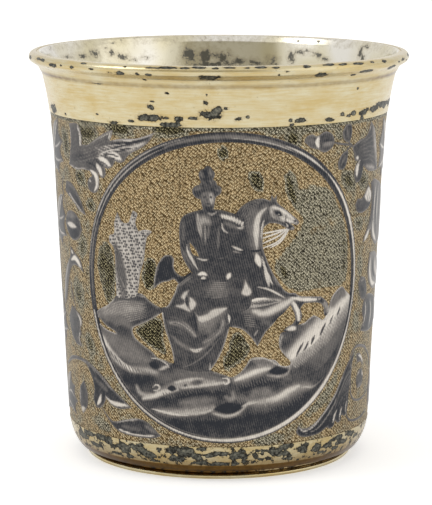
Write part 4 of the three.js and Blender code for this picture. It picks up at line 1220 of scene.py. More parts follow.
# Thin stems that tie the leaves together: width, tone and path
THIN_STEMS = [
    (0.45, 0.3, [(22.9, 65.9), (25, 65.4), (28.4, 64.9)]),
    (0.4, 0.3, [(26.8, 66.4), (27.3, 65.4), (28.4, 64.8)]),
    (0.4, 0.3, [(26.4, 63.6), (27.2, 64.4), (28.4, 64.8)]),
    (0.6, 0.4, [(31.2, 22.2), (32.6, 23.6), (34.6, 24.1), (38.5, 23.1), (42.1, 20.4), (44.4, 17.2)]),
    (0.5, 0.3, [(31.5, 12.8), (31, 11.2), (31.8, 9.8), (33.8, 9), (38, 8.9), (42.4, 9.6)]),
    (0.5, 0.35, [(32.3, 20.4), (32, 17), (32.8, 14.2), (35.2, 12.9), (39.6, 12.9), (43, 14.4)]),
    (0.4, 0.35, [(-37.8, 37), (-36.4, 33.4), (-35.6, 31.2)]),
    (0.35, 0.35, [(-36.2, 31.8), (-35, 30.6), (-34, 30.4)]),
    (0.4, 0.4, [(-38.4, 57.6), (-39.2, 55.4), (-38.2, 52)]),
]

# Tarnish of the punched field, darkest in the middle of its open places
FIELD_MARKS = [
    area(0.9, (12.4, 60.2), (13.6, 61), (15, 59.5), (15.3, 57.5), (18.7, 57.9), (22.5, 56.8), (25, 53.5),
         (27.4, 48.9), (28.3, 43.5), (28.4, 38.6), (25, 37.4), (19.6, 37.3), (14.3, 38), (11.8, 40.6),
         (10.9, 43.4), (14.1, 47.2), (16.5, 51), (15.1, 53.5), (13.6, 56)),
    glow(1.25, 2.4, (13.4, 59.4), (14.4, 56.2)),
    glow(1.2, 3, (17, 44), (22, 42)),
    glow(1.9, 1.3, (12.9, 59.9), (13.7, 57.4), (14.8, 54.4)),
    glow(1.7, 1.7, (26.7, 48.4), (27.5, 43.6), (27.4, 39.4)),
    glow(1.75, 1.2, (12.2, 42.8), (13.4, 39.8)),
    glow(0.6, 2.6, (24.6, 50), (20.4, 49.4)),
    area(2, (-0.2, 65.2), (0.7, 66.1), (1.5, 65.4), (1.3, 63.9), (0.2, 63.8)),
    area(1.8, (5.5, 60.7), (7.2, 61.1), (8.3, 59.3), (8.2, 57.5), (7.1, 57.5), (5.8, 59)),
    area(1.6, (-25.4, 45.4), (-23.3, 46.3), (-21.9, 43.2), (-21.6, 39.7), (-22.3, 35.5), (-24, 34.7),
         (-26.2, 40.9)),
    area(2, (-14.5, 43.3), (-13.1, 44.1), (-12.2, 42.3), (-12.6, 39.3), (-14.3, 38), (-15, 40.4)),
    area(1.8, (-17.1, 29.5), (-15.1, 31.4), (-12.8, 32.6), (-11.2, 31.4), (-11.1, 27.9), (-10.6, 25.6),
         (-12.7, 26.4), (-15.2, 27.8)),
    area(1.8, (2.4, 28.8), (3.7, 30.1), (5.9, 27.3), (5.6, 25.8), (3.7, 24.1), (1.5, 22.8), (0.9, 24.3),
         (1.9, 26.6)),
    glow(1.6, 1.8, (-21.4, 68.6), (-17, 68.6)),
    glow(1.6, 1.6, (-11.4, 68.8), (-6.4, 68.8)),
    glow(1.6, 2.6, (13.4, 68.2), (14.2, 66.4)),
    glow(0.8, 1.4, (9, 69), (22, 69)),
    glow(1.6, 3, (-29.4, 67.4), (-25.6, 67.4)),
    glow(1.4, 2.6, (26.6, 59), (29, 57)),
    glow(0.7, 1.6, (24.6, 66.8), (23.8, 68.4)),
    glow(1.4, 2.6, (32, 57.6), (34, 57.2)),
    glow(1.3, 1.8, (31.2, 49.4), (33, 48.6)),
    glow(0.6, 1.6, (33, 42), (34, 38.6)),
    glow(0.6, 1.6, (32.6, 30.8), (33.4, 27.6)),
    glow(0.8, 1.4, (19, 12.4), (23, 15), (26.6, 19)),
    glow(0.8, 1.4, (7, 8.4), (13, 8.8)),
    glow(0.8, 1.6, (-29, 9.8), (-25.4, 8.8)),
    glow(1.5, 2.2, (-30.6, 26.4), (-29.6, 23.8)),
    glow(1.4, 3.2, (-34.4, 36.6), (-33, 33.4)),
    glow(1.4, 2, (-30.8, 46), (-31.6, 43)),
    glow(1.7, 1.8, (-28.2, 53.4), (-27, 53)),
    glow(1.6, 2.2, (-31.4, 58.8), (-30, 57.8)),
    glow(1.4, 2.4, (-36.2, 66.6), (-35.6, 62.8)),
]

# Spots on the plain bands where the gilding is lost: place along and up, then width and height
BAND_SPOTS = [
    (-9, 76.2, 0.9, 0.6), (-2.4, 74.6, 1, 1.4), (-12.2, 73.5, 1.5, 1.2), (-11.8, 74.5, 1.2, 0.6),
    (-12.4, 71.3, 5.6, 1.6), (-7, 71.3, 1.8, 1.5), (-9.4, 71.4, 1.6, 0.6), (-4.6, 71.5, 2.4, 0.6),
    (-1.6, 72.2, 4.6, 2), (-0.4, 73, 2.4, 1.6), (1.4, 73.4, 1, 0.8), (3.4, 71.4, 1.5, 1),
    (5, 71.7, 0.9, 0.8), (-20, 69.9, 2.8, 0.9), (-16.2, 70.5, 1.6, 0.6), (-8.5, 70.1, 5, 1.2),
    (-34.2, 70.4, 1.2, 0.7), (-40.4, 70.8, 5.4, 2), (13, 70.8, 1, 0.8), (15.2, 70.7, 2.8, 1.1),
    (13.3, 69.9, 1.4, 0.8), (21.2, 70.4, 2.5, 1), (24.4, 71.2, 1.6, 0.9), (27.4, 71.2, 1.8, 1.1),
    (26, 70.8, 1.8, 0.6), (30.5, 71, 3.2, 1.4), (34.4, 71.4, 6, 1.5), (39.4, 71.7, 7, 1.6),
    (36.8, 72.1, 4, 1.2), (30.3, 69.9, 1.6, 0.9), (-23.8, 71.3, 0.9, 0.5), (-22.4, 77.4, 3.4, 0.5),
    (-13.5, 77.5, 0.9, 0.6), (-2.2, 76, 0.6, 0.5), (27.6, 76, 0.8, 0.5), (44, 71.6, 5, 1.6),
    (-36, 5.6, 6, 2.4), (-32.6, 6.6, 4.6, 1.6), (-27.6, 6.7, 6.4, 1.8), (-25.6, 6.5, 4.4, 2),
    (-31, 4.6, 6, 1.2), (-21, 5.5, 4.4, 2.8), (-18.4, 6.1, 3.4, 1.6), (-16.4, 5.4, 4.4, 2.4),
    (-14.4, 4.8, 2.4, 1.8), (-10, 6.4, 4.2, 2.2), (-7, 6.2, 5, 2.6), (-9, 4.6, 4.2, 1.6),
    (-5, 5.4, 3.2, 2), (-2.2, 5.6, 3.2, 1.2), (0.6, 6, 3.4, 1.1), (3.4, 5.4, 3.8, 2.2), (5, 5, 2.4, 2.4),
    (4.6, 6.5, 1.8, 1.2), (7.6, 5.2, 1, 1.4), (9.2, 6.3, 1.6, 1), (11.5, 6, 2.6, 2.4), (14, 6.7, 4.2, 2),
    (13.5, 5.4, 4, 1.6), (18.4, 5.6, 3.2, 2), (19.2, 6.6, 1.8, 1.6), (22, 5.4, 3.4, 2),
    (25.2, 5.5, 3.2, 1.6), (28.5, 6.5, 4.4, 1.8), (30, 5.3, 5.8, 1.2), (33.4, 6.5, 4.4, 1.4),
    (36.4, 5.4, 4, 1.2), (-24, 4, 4, 0.8), (-4, 3.9, 5, 0.8), (15, 4.1, 4, 0.7), (24, 4.2, 3.6, 0.7),
    (-20, 3.9, 3.2, 0.8), (-14, 3.7, 2.8, 0.7), (0.6, 3.9, 3, 0.7), (3.6, 3.8, 2.4, 0.9),
    (7.8, 6.4, 1.1, 0.8), (9, 5.6, 1.4, 0.7), (10.4, 6.2, 1, 0.8), (8.6, 4.6, 1.6, 0.7),
    (10.4, 4.6, 1.4, 0.8), (28, 4.4, 3.4, 0.8), (-17, 6.8, 2.4, 0.8), (-12.6, 6.4, 1.6, 0.7),
    (-3.4, 6.8, 2.4, 0.7),
]
LIP_SPOTS = [
    (-32, 80.2, 2.8, 0.9), (-26.6, 80.3, 1.4, 0.6), (-16.5, 79.9, 2.2, 0.9), (-18.6, 79.9, 0.8, 0.7),
    (-22, 80.3, 1.2, 0.5), (-13.4, 79.9, 1, 0.6), (-11.2, 79.8, 1.4, 0.5), (-12.6, 78.7, 1, 0.5),
    (-1.5, 79.4, 4, 1.2), (17.4, 79.5, 3.2, 1.1), (27.2, 79.5, 3.8, 0.8), (24.8, 78.9, 1.6, 0.5),
    (35.5, 79.5, 3.4, 1), (9.6, 79.8, 0.8, 0.6), (11, 80.4, 1, 0.6), (-10.4, 81.1, 2.6, 0.4),
    (-8, 81.2, 3.4, 0.5), (-5.4, 81.2, 2, 0.4), (-3.2, 81.3, 2.2, 0.5), (-0.6, 81.2, 1.4, 0.4),
    (1.6, 81.3, 2.6, 0.4), (4.4, 81.2, 1.2, 0.4), (6.6, 81.3, 2.8, 0.4), (9, 81.2, 1.4, 0.4),
    (14.4, 81.2, 1.4, 0.5), (18.8, 81.3, 2.2, 0.4), (21.4, 81.2, 2, 0.5), (25, 81.1, 2.4, 0.5),
    (28.4, 81.1, 1.2, 0.4), (32, 81, 1.4, 0.7), (-15.6, 81.1, 0.9, 0.4), (-24, 81.2, 1.4, 0.4),
    (-29.4, 80.4, 0.9, 0.5), (-34.4, 79.6, 0.8, 0.5), (-38, 80.9, 2, 0.5), (-36, 80.8, 1.8, 0.7),
    (37.6, 80.4, 1, 0.5), (40, 80.6, 2.2, 0.7), (42.6, 80.2, 1.2, 0.6), (-44, 80.6, 3.4, 0.9),
    (46, 80.9, 3, 0.7),
]

# Stains on the inside of the back wall: place along from its middle and up, then width and height
INSIDE_SPOTS = [
    (-27.4, 78.6, 4.4, 2.6), (-23, 78.6, 3.6, 2), (-20.4, 77.6, 3.6, 1.8), (-31.4, 78.4, 5, 1.6),
    (-37, 78.6, 5.4, 1.4), (-17.8, 77, 4, 1.2), (-14.4, 77.2, 3.4, 1.2), (-24.4, 79.8, 3, 0.8),
    (-4.8, 77.4, 3.8, 3), (-1.6, 77.2, 4.6, 3.2), (1.8, 77, 4, 2.4), (5.4, 76, 3.6, 1.6),
    (9.4, 75.8, 3.6, 1.4), (13, 76.2, 2.8, 2.2), (0, 75.4, 12, 1.6), (17.4, 77.4, 1.8, 2.6),
    (19.4, 78.4, 2.6, 1.2), (21, 78.7, 2.4, 0.9), (23.4, 78, 2.2, 1), (25.6, 77.2, 1.8, 1),
    (35.6, 79.3, 1.4, 2.6), (37, 78, 1.4, 1.8), (-22, 80.6, 2.6, 0.8), (37.4, 80.5, 2.2, 0.9),
    (18, 80.7, 2.4, 0.6), (23, 80.8, 2, 0.6), (-46, 78.4, 6, 1.6), (46, 77.6, 5, 1.4),
]


def spot_depth(points, spots):
    """How deep each point lies inside its nearest spot: 1 in its middle, 0 on its rim, -1 outside."""
    depth = np.full(len(points), -1.0)
    for along, up, width, height in spots:
        away = (points - (along, up)) / (width / 2, height / 2)
        depth = np.maximum(depth, 1 - np.linalg.norm(away, axis=1))
    return depth


def feed(tree, node, links):
    """Give each input a value or a link. A node stands for its factor, or else for the output in use."""
    for socket, value in links.items():
        if isinstance(value, bpy.types.Node):
            value = value.outputs.get("Fac") or next(out for out in value.outputs if out.enabled)
        if isinstance(value, bpy.types.NodeSocket):
            tree.links.new(value, node.inputs[socket])
        else:
            node.inputs[socket].default_value = value


def add_node(tree, kind, links=None, stops=None, **settings):
    """Add a node, set it up, and feed its inputs. Stops fill a colour ramp."""
    made = tree.nodes.new("ShaderNode" + kind)
    for key, value in settings.items():
        setattr(made, key, value)
    for place, (position, colour) in enumerate(stops or []):
        ramp = made.color_ramp.elements
        stop = ramp[place] if place < 2 else ramp.new(position)
        stop.position = position
        stop.color = colour
    feed(tree, made, links or {})
    return made


def new_material(name):
    """A node material with one principled shader, ready to be linked."""
    material = bpy.data.materials.get(name) or bpy.data.materials.new(name)
    material.use_nodes = True
    tree = material.node_tree
    tree.nodes.clear()
    shader = add_node(tree, "BsdfPrincipled")
    add_node(tree, "OutputMaterial", {"Surface": shader})
    return material, tree, shader


def rgba(colour):
    return (*colour, 1)


def per_mm(millimetres):
    """Texture scale that gives a pattern of this size on metre coordinates."""
    return 1 / (millimetres * MM)


def wave_scale(millimetres):
    """Scale that gives a wave texture this pitch on the sheet map. The texture repeats every pi / 10."""
    return math.pi / 10 / (SHEET_UNITS * millimetres * MM)


def burnished_gilt(colours):
    """Fire-gilt silver, raised by hammer and burnished: pale warm gold with a soft gloss, faint dents
    and hairlines, and grey spots with a black rim where the gilding is gone and the silver tarnished."""
    material, tree, shader = new_material("fire_gilt_silver_burnished")
    place = add_node(tree, "TexCoord").outputs["Object"]
    upright = add_node(tree, "Mapping", {"Vector": place, "Scale": (1, 1, 2.2)})
    clouds = add_node(tree, "TexNoise", {
        "Vector": upright, "Scale": per_mm(7), "Detail": 5.0, "Roughness": 0.6})
    hairs = add_node(tree, "Mapping", {"Vector": place, "Scale": (1, 1, 14)})
    burnish = add_node(tree, "TexNoise", {"Vector": hairs, "Scale": per_mm(4), "Detail": 3.0})
    brushed = add_node(tree, "Math", {0: burnish, 1: 0.6, 2: clouds}, operation="MULTIPLY_ADD")
    rubbed = add_node(tree, "MapRange", {"Value": brushed, "From Min": 0.6, "From Max": 1.0})
    gilt = add_node(tree, "Mix", {
        0: rubbed, 6: rgba(colours.gilt), 7: rgba(colours.worn)}, data_type="RGBA")
    spot = add_node(tree, "Attribute", attribute_name="spot")
    ragged = add_node(tree, "TexNoise", {
        "Vector": place, "Scale": per_mm(1.3), "Detail": 6.0, "Roughness": 0.66})
    frayed = add_node(tree, "Math", {0: ragged, 1: 2.2, 2: spot}, operation="MULTIPLY_ADD")
    lost = add_node(tree, "MapRange", {
        "Value": frayed, "From Min": 1.2, "From Max": 1.3}, interpolation_type="SMOOTHSTEP")
    heart = add_node(tree, "MapRange", {
        "Value": frayed, "From Min": 1.28, "From Max": 1.62}, interpolation_type="SMOOTHSTEP")
    halo = add_node(tree, "MapRange", {
        "Value": frayed, "From Min": 0.8, "From Max": 1.25, "To Max": 0.3})
    # Brown dirt and painted shade from the dirt_and_shade attribute, under the lip, over the foot and in
    # its hollow; where it lies thickest the colour goes near black
    dirt_and_shade = add_node(tree, "Attribute", attribute_name="dirt_and_shade")
    smeared = add_node(tree, "Math", {0: ragged, 1: 1.1, 2: -0.55}, operation="MULTIPLY_ADD")
    streaked = add_node(tree, "Math", {0: smeared, 1: dirt_and_shade}, operation="ADD")
    caked_and_shaded = add_node(tree, "Math", {0: streaked, 1: dirt_and_shade}, operation="MULTIPLY", use_clamp=True)
    mottle = add_node(tree, "TexNoise", {
        "Vector": place, "Scale": per_mm(0.6), "Detail": 4.0, "Roughness": 0.6})
    flecks = add_node(tree, "MapRange", {
        "Value": mottle, "From Min": 0.66, "From Max": 0.74, "To Max": 0.5})
    dirtied_and_shaded = add_node(tree, "Math", {0: caked_and_shaded, 1: halo}, operation="MAXIMUM")
    dirtied_and_shaded = add_node(tree, "Math", {0: dirtied_and_shaded, 1: flecks}, operation="MAXIMUM")
    thick = add_node(tree, "MapRange", {"Value": streaked, "From Min": 1.0, "From Max": 1.9})
    grime_and_shade = add_node(tree, "Mix", {
        0: thick, 6: rgba(colours.dirt_and_shade), 7: rgba(linear("#1d160b"))}, data_type="RGBA")
    browned_and_shaded = add_node(tree, "Mix", {0: dirtied_and_shaded, 6: gilt, 7: grime_and_shade}, data_type="RGBA")
    grey = add_node(tree, "ValToRGB", {"Fac": mottle}, stops=[
        (0.38, rgba(linear("#2b2a27"))), (0.55, rgba(colours.tarnish)), (0.72, rgba(linear("#8c8878")))])
    spots = add_node(tree, "Mix", {0: heart, 6: rgba(linear("#2b2a27")), 7: grey}, data_type="RGBA")
    colour = add_node(tree, "Mix", {0: lost, 6: browned_and_shaded, 7: spots}, data_type="RGBA")
    rough = add_node(tree, "MapRange", {"Value": lost, "To Min": 0.24, "To Max": 0.45})
    dents = add_node(tree, "Bump", {"Height": clouds, "Strength": 0.4, "Distance": 0.3 * MM})
    lines = add_node(tree, "Bump", {
        "Height": burnish, "Strength": 0.15, "Distance": 0.05 * MM, "Normal": dents})
    pits = add_node(tree, "Bump", {
        "Height": lost, "Strength": 0.4, "Distance": 0.04 * MM, "Normal": lines},
        invert=True)
    feed(tree, shader, {"Metallic": 1, "Base Color": colour, "Roughness": rough, "Normal": pits})
    return material


def punched_gilt(colours, sizes):
    """Gilt silver matted with a fine punch: soft tan gold with a painted highlight on each grain, going
    grey green and then black where open places have tarnished. The grains are drawn as coarse as they
    need to show."""
    material, tree, shader = new_material("fire_gilt_silver_punched")
    place = add_node(tree, "TexCoord").outputs["Object"]
    sheet = add_node(tree, "UVMap", uv_map="sheet")
    slanted = add_node(tree, "Mapping", {
        "Vector": sheet, "Rotation": (0, 0, math.radians(50)), "Scale": (1.35, 0.8, 1)},
        vector_type="TEXTURE")
    grains = add_node(tree, "TexVoronoi", {
        "Vector": slanted, "Scale": 1 / (SHEET_UNITS * sizes.punch_pitch), "Randomness": 0.56},
        voronoi_dimensions="2D")
    point = add_node(tree, "MapRange", {
        "Value": grains, "From Min": 0.05, "From Max": 0.42, "To Min": 1.0, "To Max": 0.0},
        interpolation_type="SMOOTHSTEP")
    chance = add_node(tree, "SeparateColor", {0: grains.outputs["Color"]})
    bright = add_node(tree, "MapRange", {"Value": chance, "To Min": 0.25})
    grain_glint = add_node(tree, "Math", {0: point, 1: bright}, operation="MULTIPLY")
    fine = add_node(tree, "TexNoise", {
        "Vector": place, "Scale": per_mm(0.6), "Detail": 3.0, "Roughness": 0.6})
    worn = add_node(tree, "MapRange", {"Value": fine, "From Min": 0.32, "From Max": 0.64})
    pit = add_node(tree, "MapRange", {
        "Value": grains, "From Min": 0.4, "From Max": 0.68, "To Min": 1.0, "To Max": 0.15},
        interpolation_type="SMOOTHSTEP")
    open_ground = add_node(tree, "Math", {0: worn, 1: pit}, operation="MULTIPLY")
    patches = add_node(tree, "TexNoise", {
        "Vector": place, "Scale": per_mm(3), "Detail": 5.0, "Roughness": 0.66})
    tarnish = add_node(tree, "Attribute", attribute_name="tarnish")
    frayed = add_node(tree, "Math", {0: fine, 1: 0.9, 2: tarnish}, operation="MULTIPLY_ADD")
    blotted = add_node(tree, "Math", {0: patches, 1: 1.6, 2: frayed}, operation="MULTIPLY_ADD")
    grey = add_node(tree, "MapRange", {
        "Value": blotted, "From Min": 1.5, "From Max": 2.0}, interpolation_type="SMOOTHSTEP")
    black = add_node(tree, "MapRange", {
        "Value": blotted, "From Min": 2.5, "From Max": 3.0}, interpolation_type="SMOOTHSTEP")

    def stages(gold, green, dark):
        """A colour that goes from gold through grey green to black with the tarnish."""
        first = add_node(tree, "Mix", {0: grey, 6: rgba(gold), 7: rgba(green)}, data_type="RGBA")
        return add_node(tree, "Mix", {0: black, 6: first, 7: rgba(dark)}, data_type="RGBA")

    low = stages(colours.punch, colours.soot, linear("#17150f"))
    high = stages(linear("#a8906a"), linear("#8e8873"), linear("#3a3629"))
    # Painted highlight: a bright point on each grain, greyed where the field is tarnished
    tip = stages(colours.punched, colours.tarnished_grain_highlight, linear("#c4b98f"))
    ground = add_node(tree, "Mix", {0: open_ground, 6: low, 7: high}, data_type="RGBA")
    colour = add_node(tree, "Mix", {0: grain_glint, 6: ground, 7: tip}, data_type="RGBA")
    bump = add_node(tree, "Bump", {"Height": point, "Strength": 0.4, "Distance": 0.06 * MM})
    feed(tree, shader, {"Metallic": 1, "Base Color": colour, "Roughness": 0.5, "Normal": bump})
    return material


def worn_inside(colours):
    """Silver inside the cup with its gilding worn thin by use: a bright, nearly mirror-like grey gold
    with lacy black stains and a tan haze, which is partly tarnish and partly painted shade."""
    material, tree, shader = new_material("silver_inside_worn")
    place = add_node(tree, "TexCoord").outputs["Object"]
    drift = add_node(tree, "TexNoise", {"Vector": place, "Scale": per_mm(16), "Detail": 2.0})
    grain = add_node(tree, "TexNoise", {
        "Vector": place, "Scale": per_mm(1.2), "Detail": 6.0, "Roughness": 0.75})
    spot = add_node(tree, "Attribute", attribute_name="spot")
    frayed = add_node(tree, "Math", {0: grain, 1: 4.0, 2: spot}, operation="MULTIPLY_ADD")
    stain = add_node(tree, "MapRange", {
        "Value": frayed, "From Min": 2.05, "From Max": 2.6}, interpolation_type="SMOOTHSTEP")
    bare = add_node(tree, "MapRange", {"Value": drift, "From Min": 0.4, "From Max": 0.6})
    tint = add_node(tree, "Mix", {
        0: bare, 6: rgba(colours.inside), 7: rgba(colours.worn)}, data_type="RGBA")
    # The haze is a tan halo round the stains, and painted shade where the spot attribute carries it
    haze_and_shade = add_node(tree, "MapRange", {
        "Value": frayed, "From Min": 1.25, "From Max": 2.3, "To Max": 0.5})
    hazed_and_shaded = add_node(tree, "Mix", {0: haze_and_shade, 6: tint, 7: rgba(linear("#a39780"))}, data_type="RGBA")
    colour = add_node(tree, "Mix", {0: stain, 6: hazed_and_shaded, 7: rgba(linear("#65635b"))}, data_type="RGBA")
    rough = add_node(tree, "MapRange", {"Value": stain, "To Min": 0.17, "To Max": 0.4})
    bump = add_node(tree, "Bump", {"Height": drift, "Strength": 0.4, "Distance": 0.5 * MM})
    feed(tree, shader, {"Metallic": 1, "Base Color": colour, "Roughness": rough, "Normal": bump})
    return material


def engraved_niello(colours):
    """Niello fused into cut silver, filed flush and polished: a blue-grey metallic black with a low
    gloss, where fine engraved hatching and bare silver lines carry the light."""
    material, tree, shader = new_material("niello_on_silver_engraved")
    place = add_node(tree, "TexCoord").outputs["Object"]
    silver = add_node(tree, "Attribute", attribute_name="silver")
    sheet = add_node(tree, "UVMap", uv_map="sheet")
    leaning = add_node(tree, "Mapping", {"Vector": sheet, "Rotation": (0, 0, math.radians(-14))})
    # Engraved hatching is about 0.2 mm apart. It is drawn twice as coarse so that it shows
    strokes = add_node(tree, "TexWave", {
        "Vector": leaning, "Scale": wave_scale(0.44),
        "Distortion": 1.6, "Detail": 2.0, "Detail Scale": 1.0}, bands_direction="X")
    grain = add_node(tree, "TexNoise", {
        "Vector": place, "Scale": per_mm(0.4), "Detail": 4.0, "Roughness": 0.7})
    hatched = add_node(tree, "Math", {0: strokes, 1: 0.13, 2: silver}, operation="MULTIPLY_ADD")
    grained = add_node(tree, "Math", {0: grain, 1: 0.44, 2: hatched}, operation="MULTIPLY_ADD")
    clouds = add_node(tree, "TexNoise", {"Vector": place, "Scale": per_mm(1.8), "Detail": 3.0})
    uneven = add_node(tree, "Math", {0: clouds, 1: 0.3, 2: grained}, operation="MULTIPLY_ADD")
    level = add_node(tree, "Math", {0: uneven, 1: 0.435}, operation="SUBTRACT")
    colour = add_node(tree, "ValToRGB", {"Fac": level}, stops=[
        (0.07, rgba(colours.niello)), (1.0, rgba(colours.silver)), (0.5, rgba(colours.niello_mid))])
    rough = add_node(tree, "MapRange", {"Value": silver, "To Min": 0.42, "To Max": 0.3})
    bump = add_node(tree, "Bump", {"Height": grained, "Strength": 0.25, "Distance": 0.06 * MM})
    feed(tree, shader, {"Metallic": 1, "Base Color": colour, "Roughness": rough, "Normal": bump})
    return material


class CUP_OT_body(bpy.types.Operator):
    """Raise the beaker's wall with its sunk, punched field and its worn inside"""

    bl_idname = "cup.body"
    bl_label = "Beaker body"

    def execute(self, context):
        sizes, colours = context.scene.cup_sizes, context.scene.cup_colours
        sink = sizes.field_sink / MM
        floor = BODY_BOTTOM + WALL
        rim = (float(wall_outside(CUP_HEIGHT)) - 0.5 * WALL, CUP_HEIGHT - 0.5 * WALL)
        # Rows lie close together where the wall carries stains and tarnish
        section = [
            *[(radius, BODY_BOTTOM) for radius in (0, 8, 16, 24, BASE_FLAT_RADIUS)],
            *run_up(BODY_BOTTOM + 0.15, FIELD_BOTTOM - FIELD_STEP, 20),
            *run_up(FIELD_BOTTOM, FIELD_TOP, 84, sink),
            *run_up(FIELD_TOP + FIELD_STEP, LIP_BOTTOM, 24),
            *run_up(LIP_BOTTOM + 0.4, rim[1], 8),
            *arc(rim, 0.5 * WALL, 20, 180, 6),
            *run_up(rim[1] - 0.4, 64, 36, WALL),
            *run_up(62.5, BASE_TOP, 34, WALL),
            *run_up(BASE_TOP - 0.8, floor + 0.9, 7, WALL),
            (24.6, floor + 0.3),
            *[(radius, floor) for radius in (22, 16, 8, 0)],
        ]
        piece = turned("beaker_body_visual", section, sizes.sides)
        mesh = piece.data
        materials = [burnished_gilt(colours), punched_gilt(colours, sizes), worn_inside(colours)]
        dress(piece, "gilt_silver", materials, "beaker_body")
        set_sheet_map(mesh)
        middles = np.empty(len(mesh.polygons) * 3)
        mesh.polygons.foreach_get("center", middles)
        middles = middles.reshape(-1, 3)
        height = middles[:, 2] / MM
        depth = depth_in_wall(middles)
        slack, outer_skin, inner_skin = 0.05, 0.6, 0.75
        on_field = (height > FIELD_BOTTOM - slack) & (height < FIELD_TOP + slack) & (depth < outer_skin)
        on_inside = (depth > inner_skin) & (height > floor - 2 * slack)
        finish = np.where(on_field, 1, np.where(on_inside, 2, 0))
        mesh.polygons.foreach_set("material_index", finish.astype(np.int32))

        # Lost gilding, dirt, tarnish and painted shade, each with its amount and the millimetres over
        # which it fades
        points = mesh_points(mesh)
        depth = depth_in_wall(points)
        sheet = on_sheet(points)
        up = sheet[:, 1]
        rise = up - BODY_BOTTOM
        along_inside = np.arctan2(points[:, 0], points[:, 1]) * INSIDE_RADIUS
        stains = spot_depth(np.column_stack((along_inside, up)), INSIDE_SPOTS)
        stains -= 0.3 * (along_inside < -10)
        # Painted shade darkens the left of the inside, and near the rim a tan haze is partly tarnish and
        # partly painted shade that dulls the lamp's reflection; both go into the spot attribute with the
        # stains
        left_painted_shade = 0.22 * smoothstep(-along_inside / 12)
        rim_tarnish_and_shade = 0.7 * smoothstep((up - 79) / 1.6)
        inside = np.maximum(stains, np.maximum(left_painted_shade, rim_tarnish_and_shade) - 1)
        flecked = np.where(up < FIELD_BOTTOM, 0.02, -1) - (rise < 1.2)
        outside = np.maximum(spot_depth(sheet, BAND_SPOTS), flecked)
        set_tone(mesh, "spot", np.where(depth > 0.7, inside, outside))
        # Brown dirt and painted shade in a line just under the lip
        dirt_and_shade_under_lip = 0.85 * smoothstep(1 - np.abs(up - LIP_BOTTOM + 0.1) / 0.45)
        low_band = 0.42 * (up < FIELD_BOTTOM)
        # Dirt and painted shade where the rounded base turns in to the foot ring: over its lowest 5 mm,
        # in a band at its foot that thins on the right for a painted sheen, and in a dark line 1.1 mm up
        dirt_and_shade_over_foot = 0.46 * smoothstep(1.05 - rise / 5)
        crease_dirt_and_shade = 0.3 * smoothstep(1.2 - rise / 0.8) * (1 - 0.6 * painted_sheen_right(sheet))
        neck_dirt_and_shade = 0.3 * smoothstep((1.15 - rise) / 0.4)
        neck_line_dirt_and_shade = 0.48 * smoothstep(1 - np.abs(rise - 1.1) / 0.35)
        set_tone(mesh, "dirt_and_shade", np.maximum(dirt_and_shade_under_lip, low_band) + dirt_and_shade_over_foot + crease_dirt_and_shade + neck_dirt_and_shade + neck_line_dirt_and_shade)
        beyond = 0.42 * (np.linalg.norm(sheet - MIDDLE, axis=1) > MEDALLION_RADIUS)
        # A dark line along the top of the field: painted shade under the step down from the plain band,
        # with a thin dark line that the field has there
        top_edge_line_and_shade = 1.6 * smoothstep(1.4 - (FIELD_TOP - up) / 0.5)
        set_tone(mesh, "tarnish", np.maximum(shade(sheet, 0, FIELD_MARKS) + beyond, top_edge_line_and_shade))
        return {"FINISHED"}


class CUP_OT_lip(bpy.types.Operator):
    """Turn the lip moulding: a hollow underside that rolls over into a round bead"""

    bl_idname = "cup.lip"
    bl_label = "Lip moulding"

    def execute(self, context):
        sizes, colours = context.scene.cup_sizes, context.scene.cup_colours
        bead = 1.1
        middle = (LIP_RADIUS - bead, CUP_HEIGHT - bead)
        wall = run_up(CUP_HEIGHT - 0.2, LIP_BOTTOM, 8, 0.15)
        start = (float(wall_outside(LIP_BOTTOM)) + 0.03, LIP_BOTTOM)
        tangent = arc(middle, bead, -38, -38, 1)[0]
        low, high = (start[0] + 0.34, LIP_BOTTOM + 0.5), (start[0] + 0.85, LIP_BOTTOM + 1.35)
        hollow = curve_through([start, low, high, tangent], 0.22)
        section = [
            *wall, *hollow.tolist(), *arc(middle, bead, -30, 84, 14),
            (middle[0] - 0.25, CUP_HEIGHT), (wall[0][0], CUP_HEIGHT - 0.02), wall[0]]
        piece = turned("lip_ring_visual", section, sizes.sides)
        dress(piece, "gilt_silver", [burnished_gilt(colours)], "lip_ring")
        sheet = on_sheet(mesh_points(piece.data))
        set_sheet_map(piece.data)
        set_tone(piece.data, "spot", spot_depth(sheet, LIP_SPOTS))
        # Dirt and painted shade in the hollow under the bead, and painted shade more than 24 mm to
        # either side of the middle
        crease_dirt_and_shade = smoothstep(1 - np.abs(sheet[:, 1] - LIP_BOTTOM - 0.2) / 0.8)
        ends = smoothstep((np.abs(sheet[:, 0] - MIDDLE[0]) - 24) / 14)
        set_tone(piece.data, "dirt_and_shade", 0.62 * crease_dirt_and_shade + 0.36 * ends)
        return {"FINISHED"}


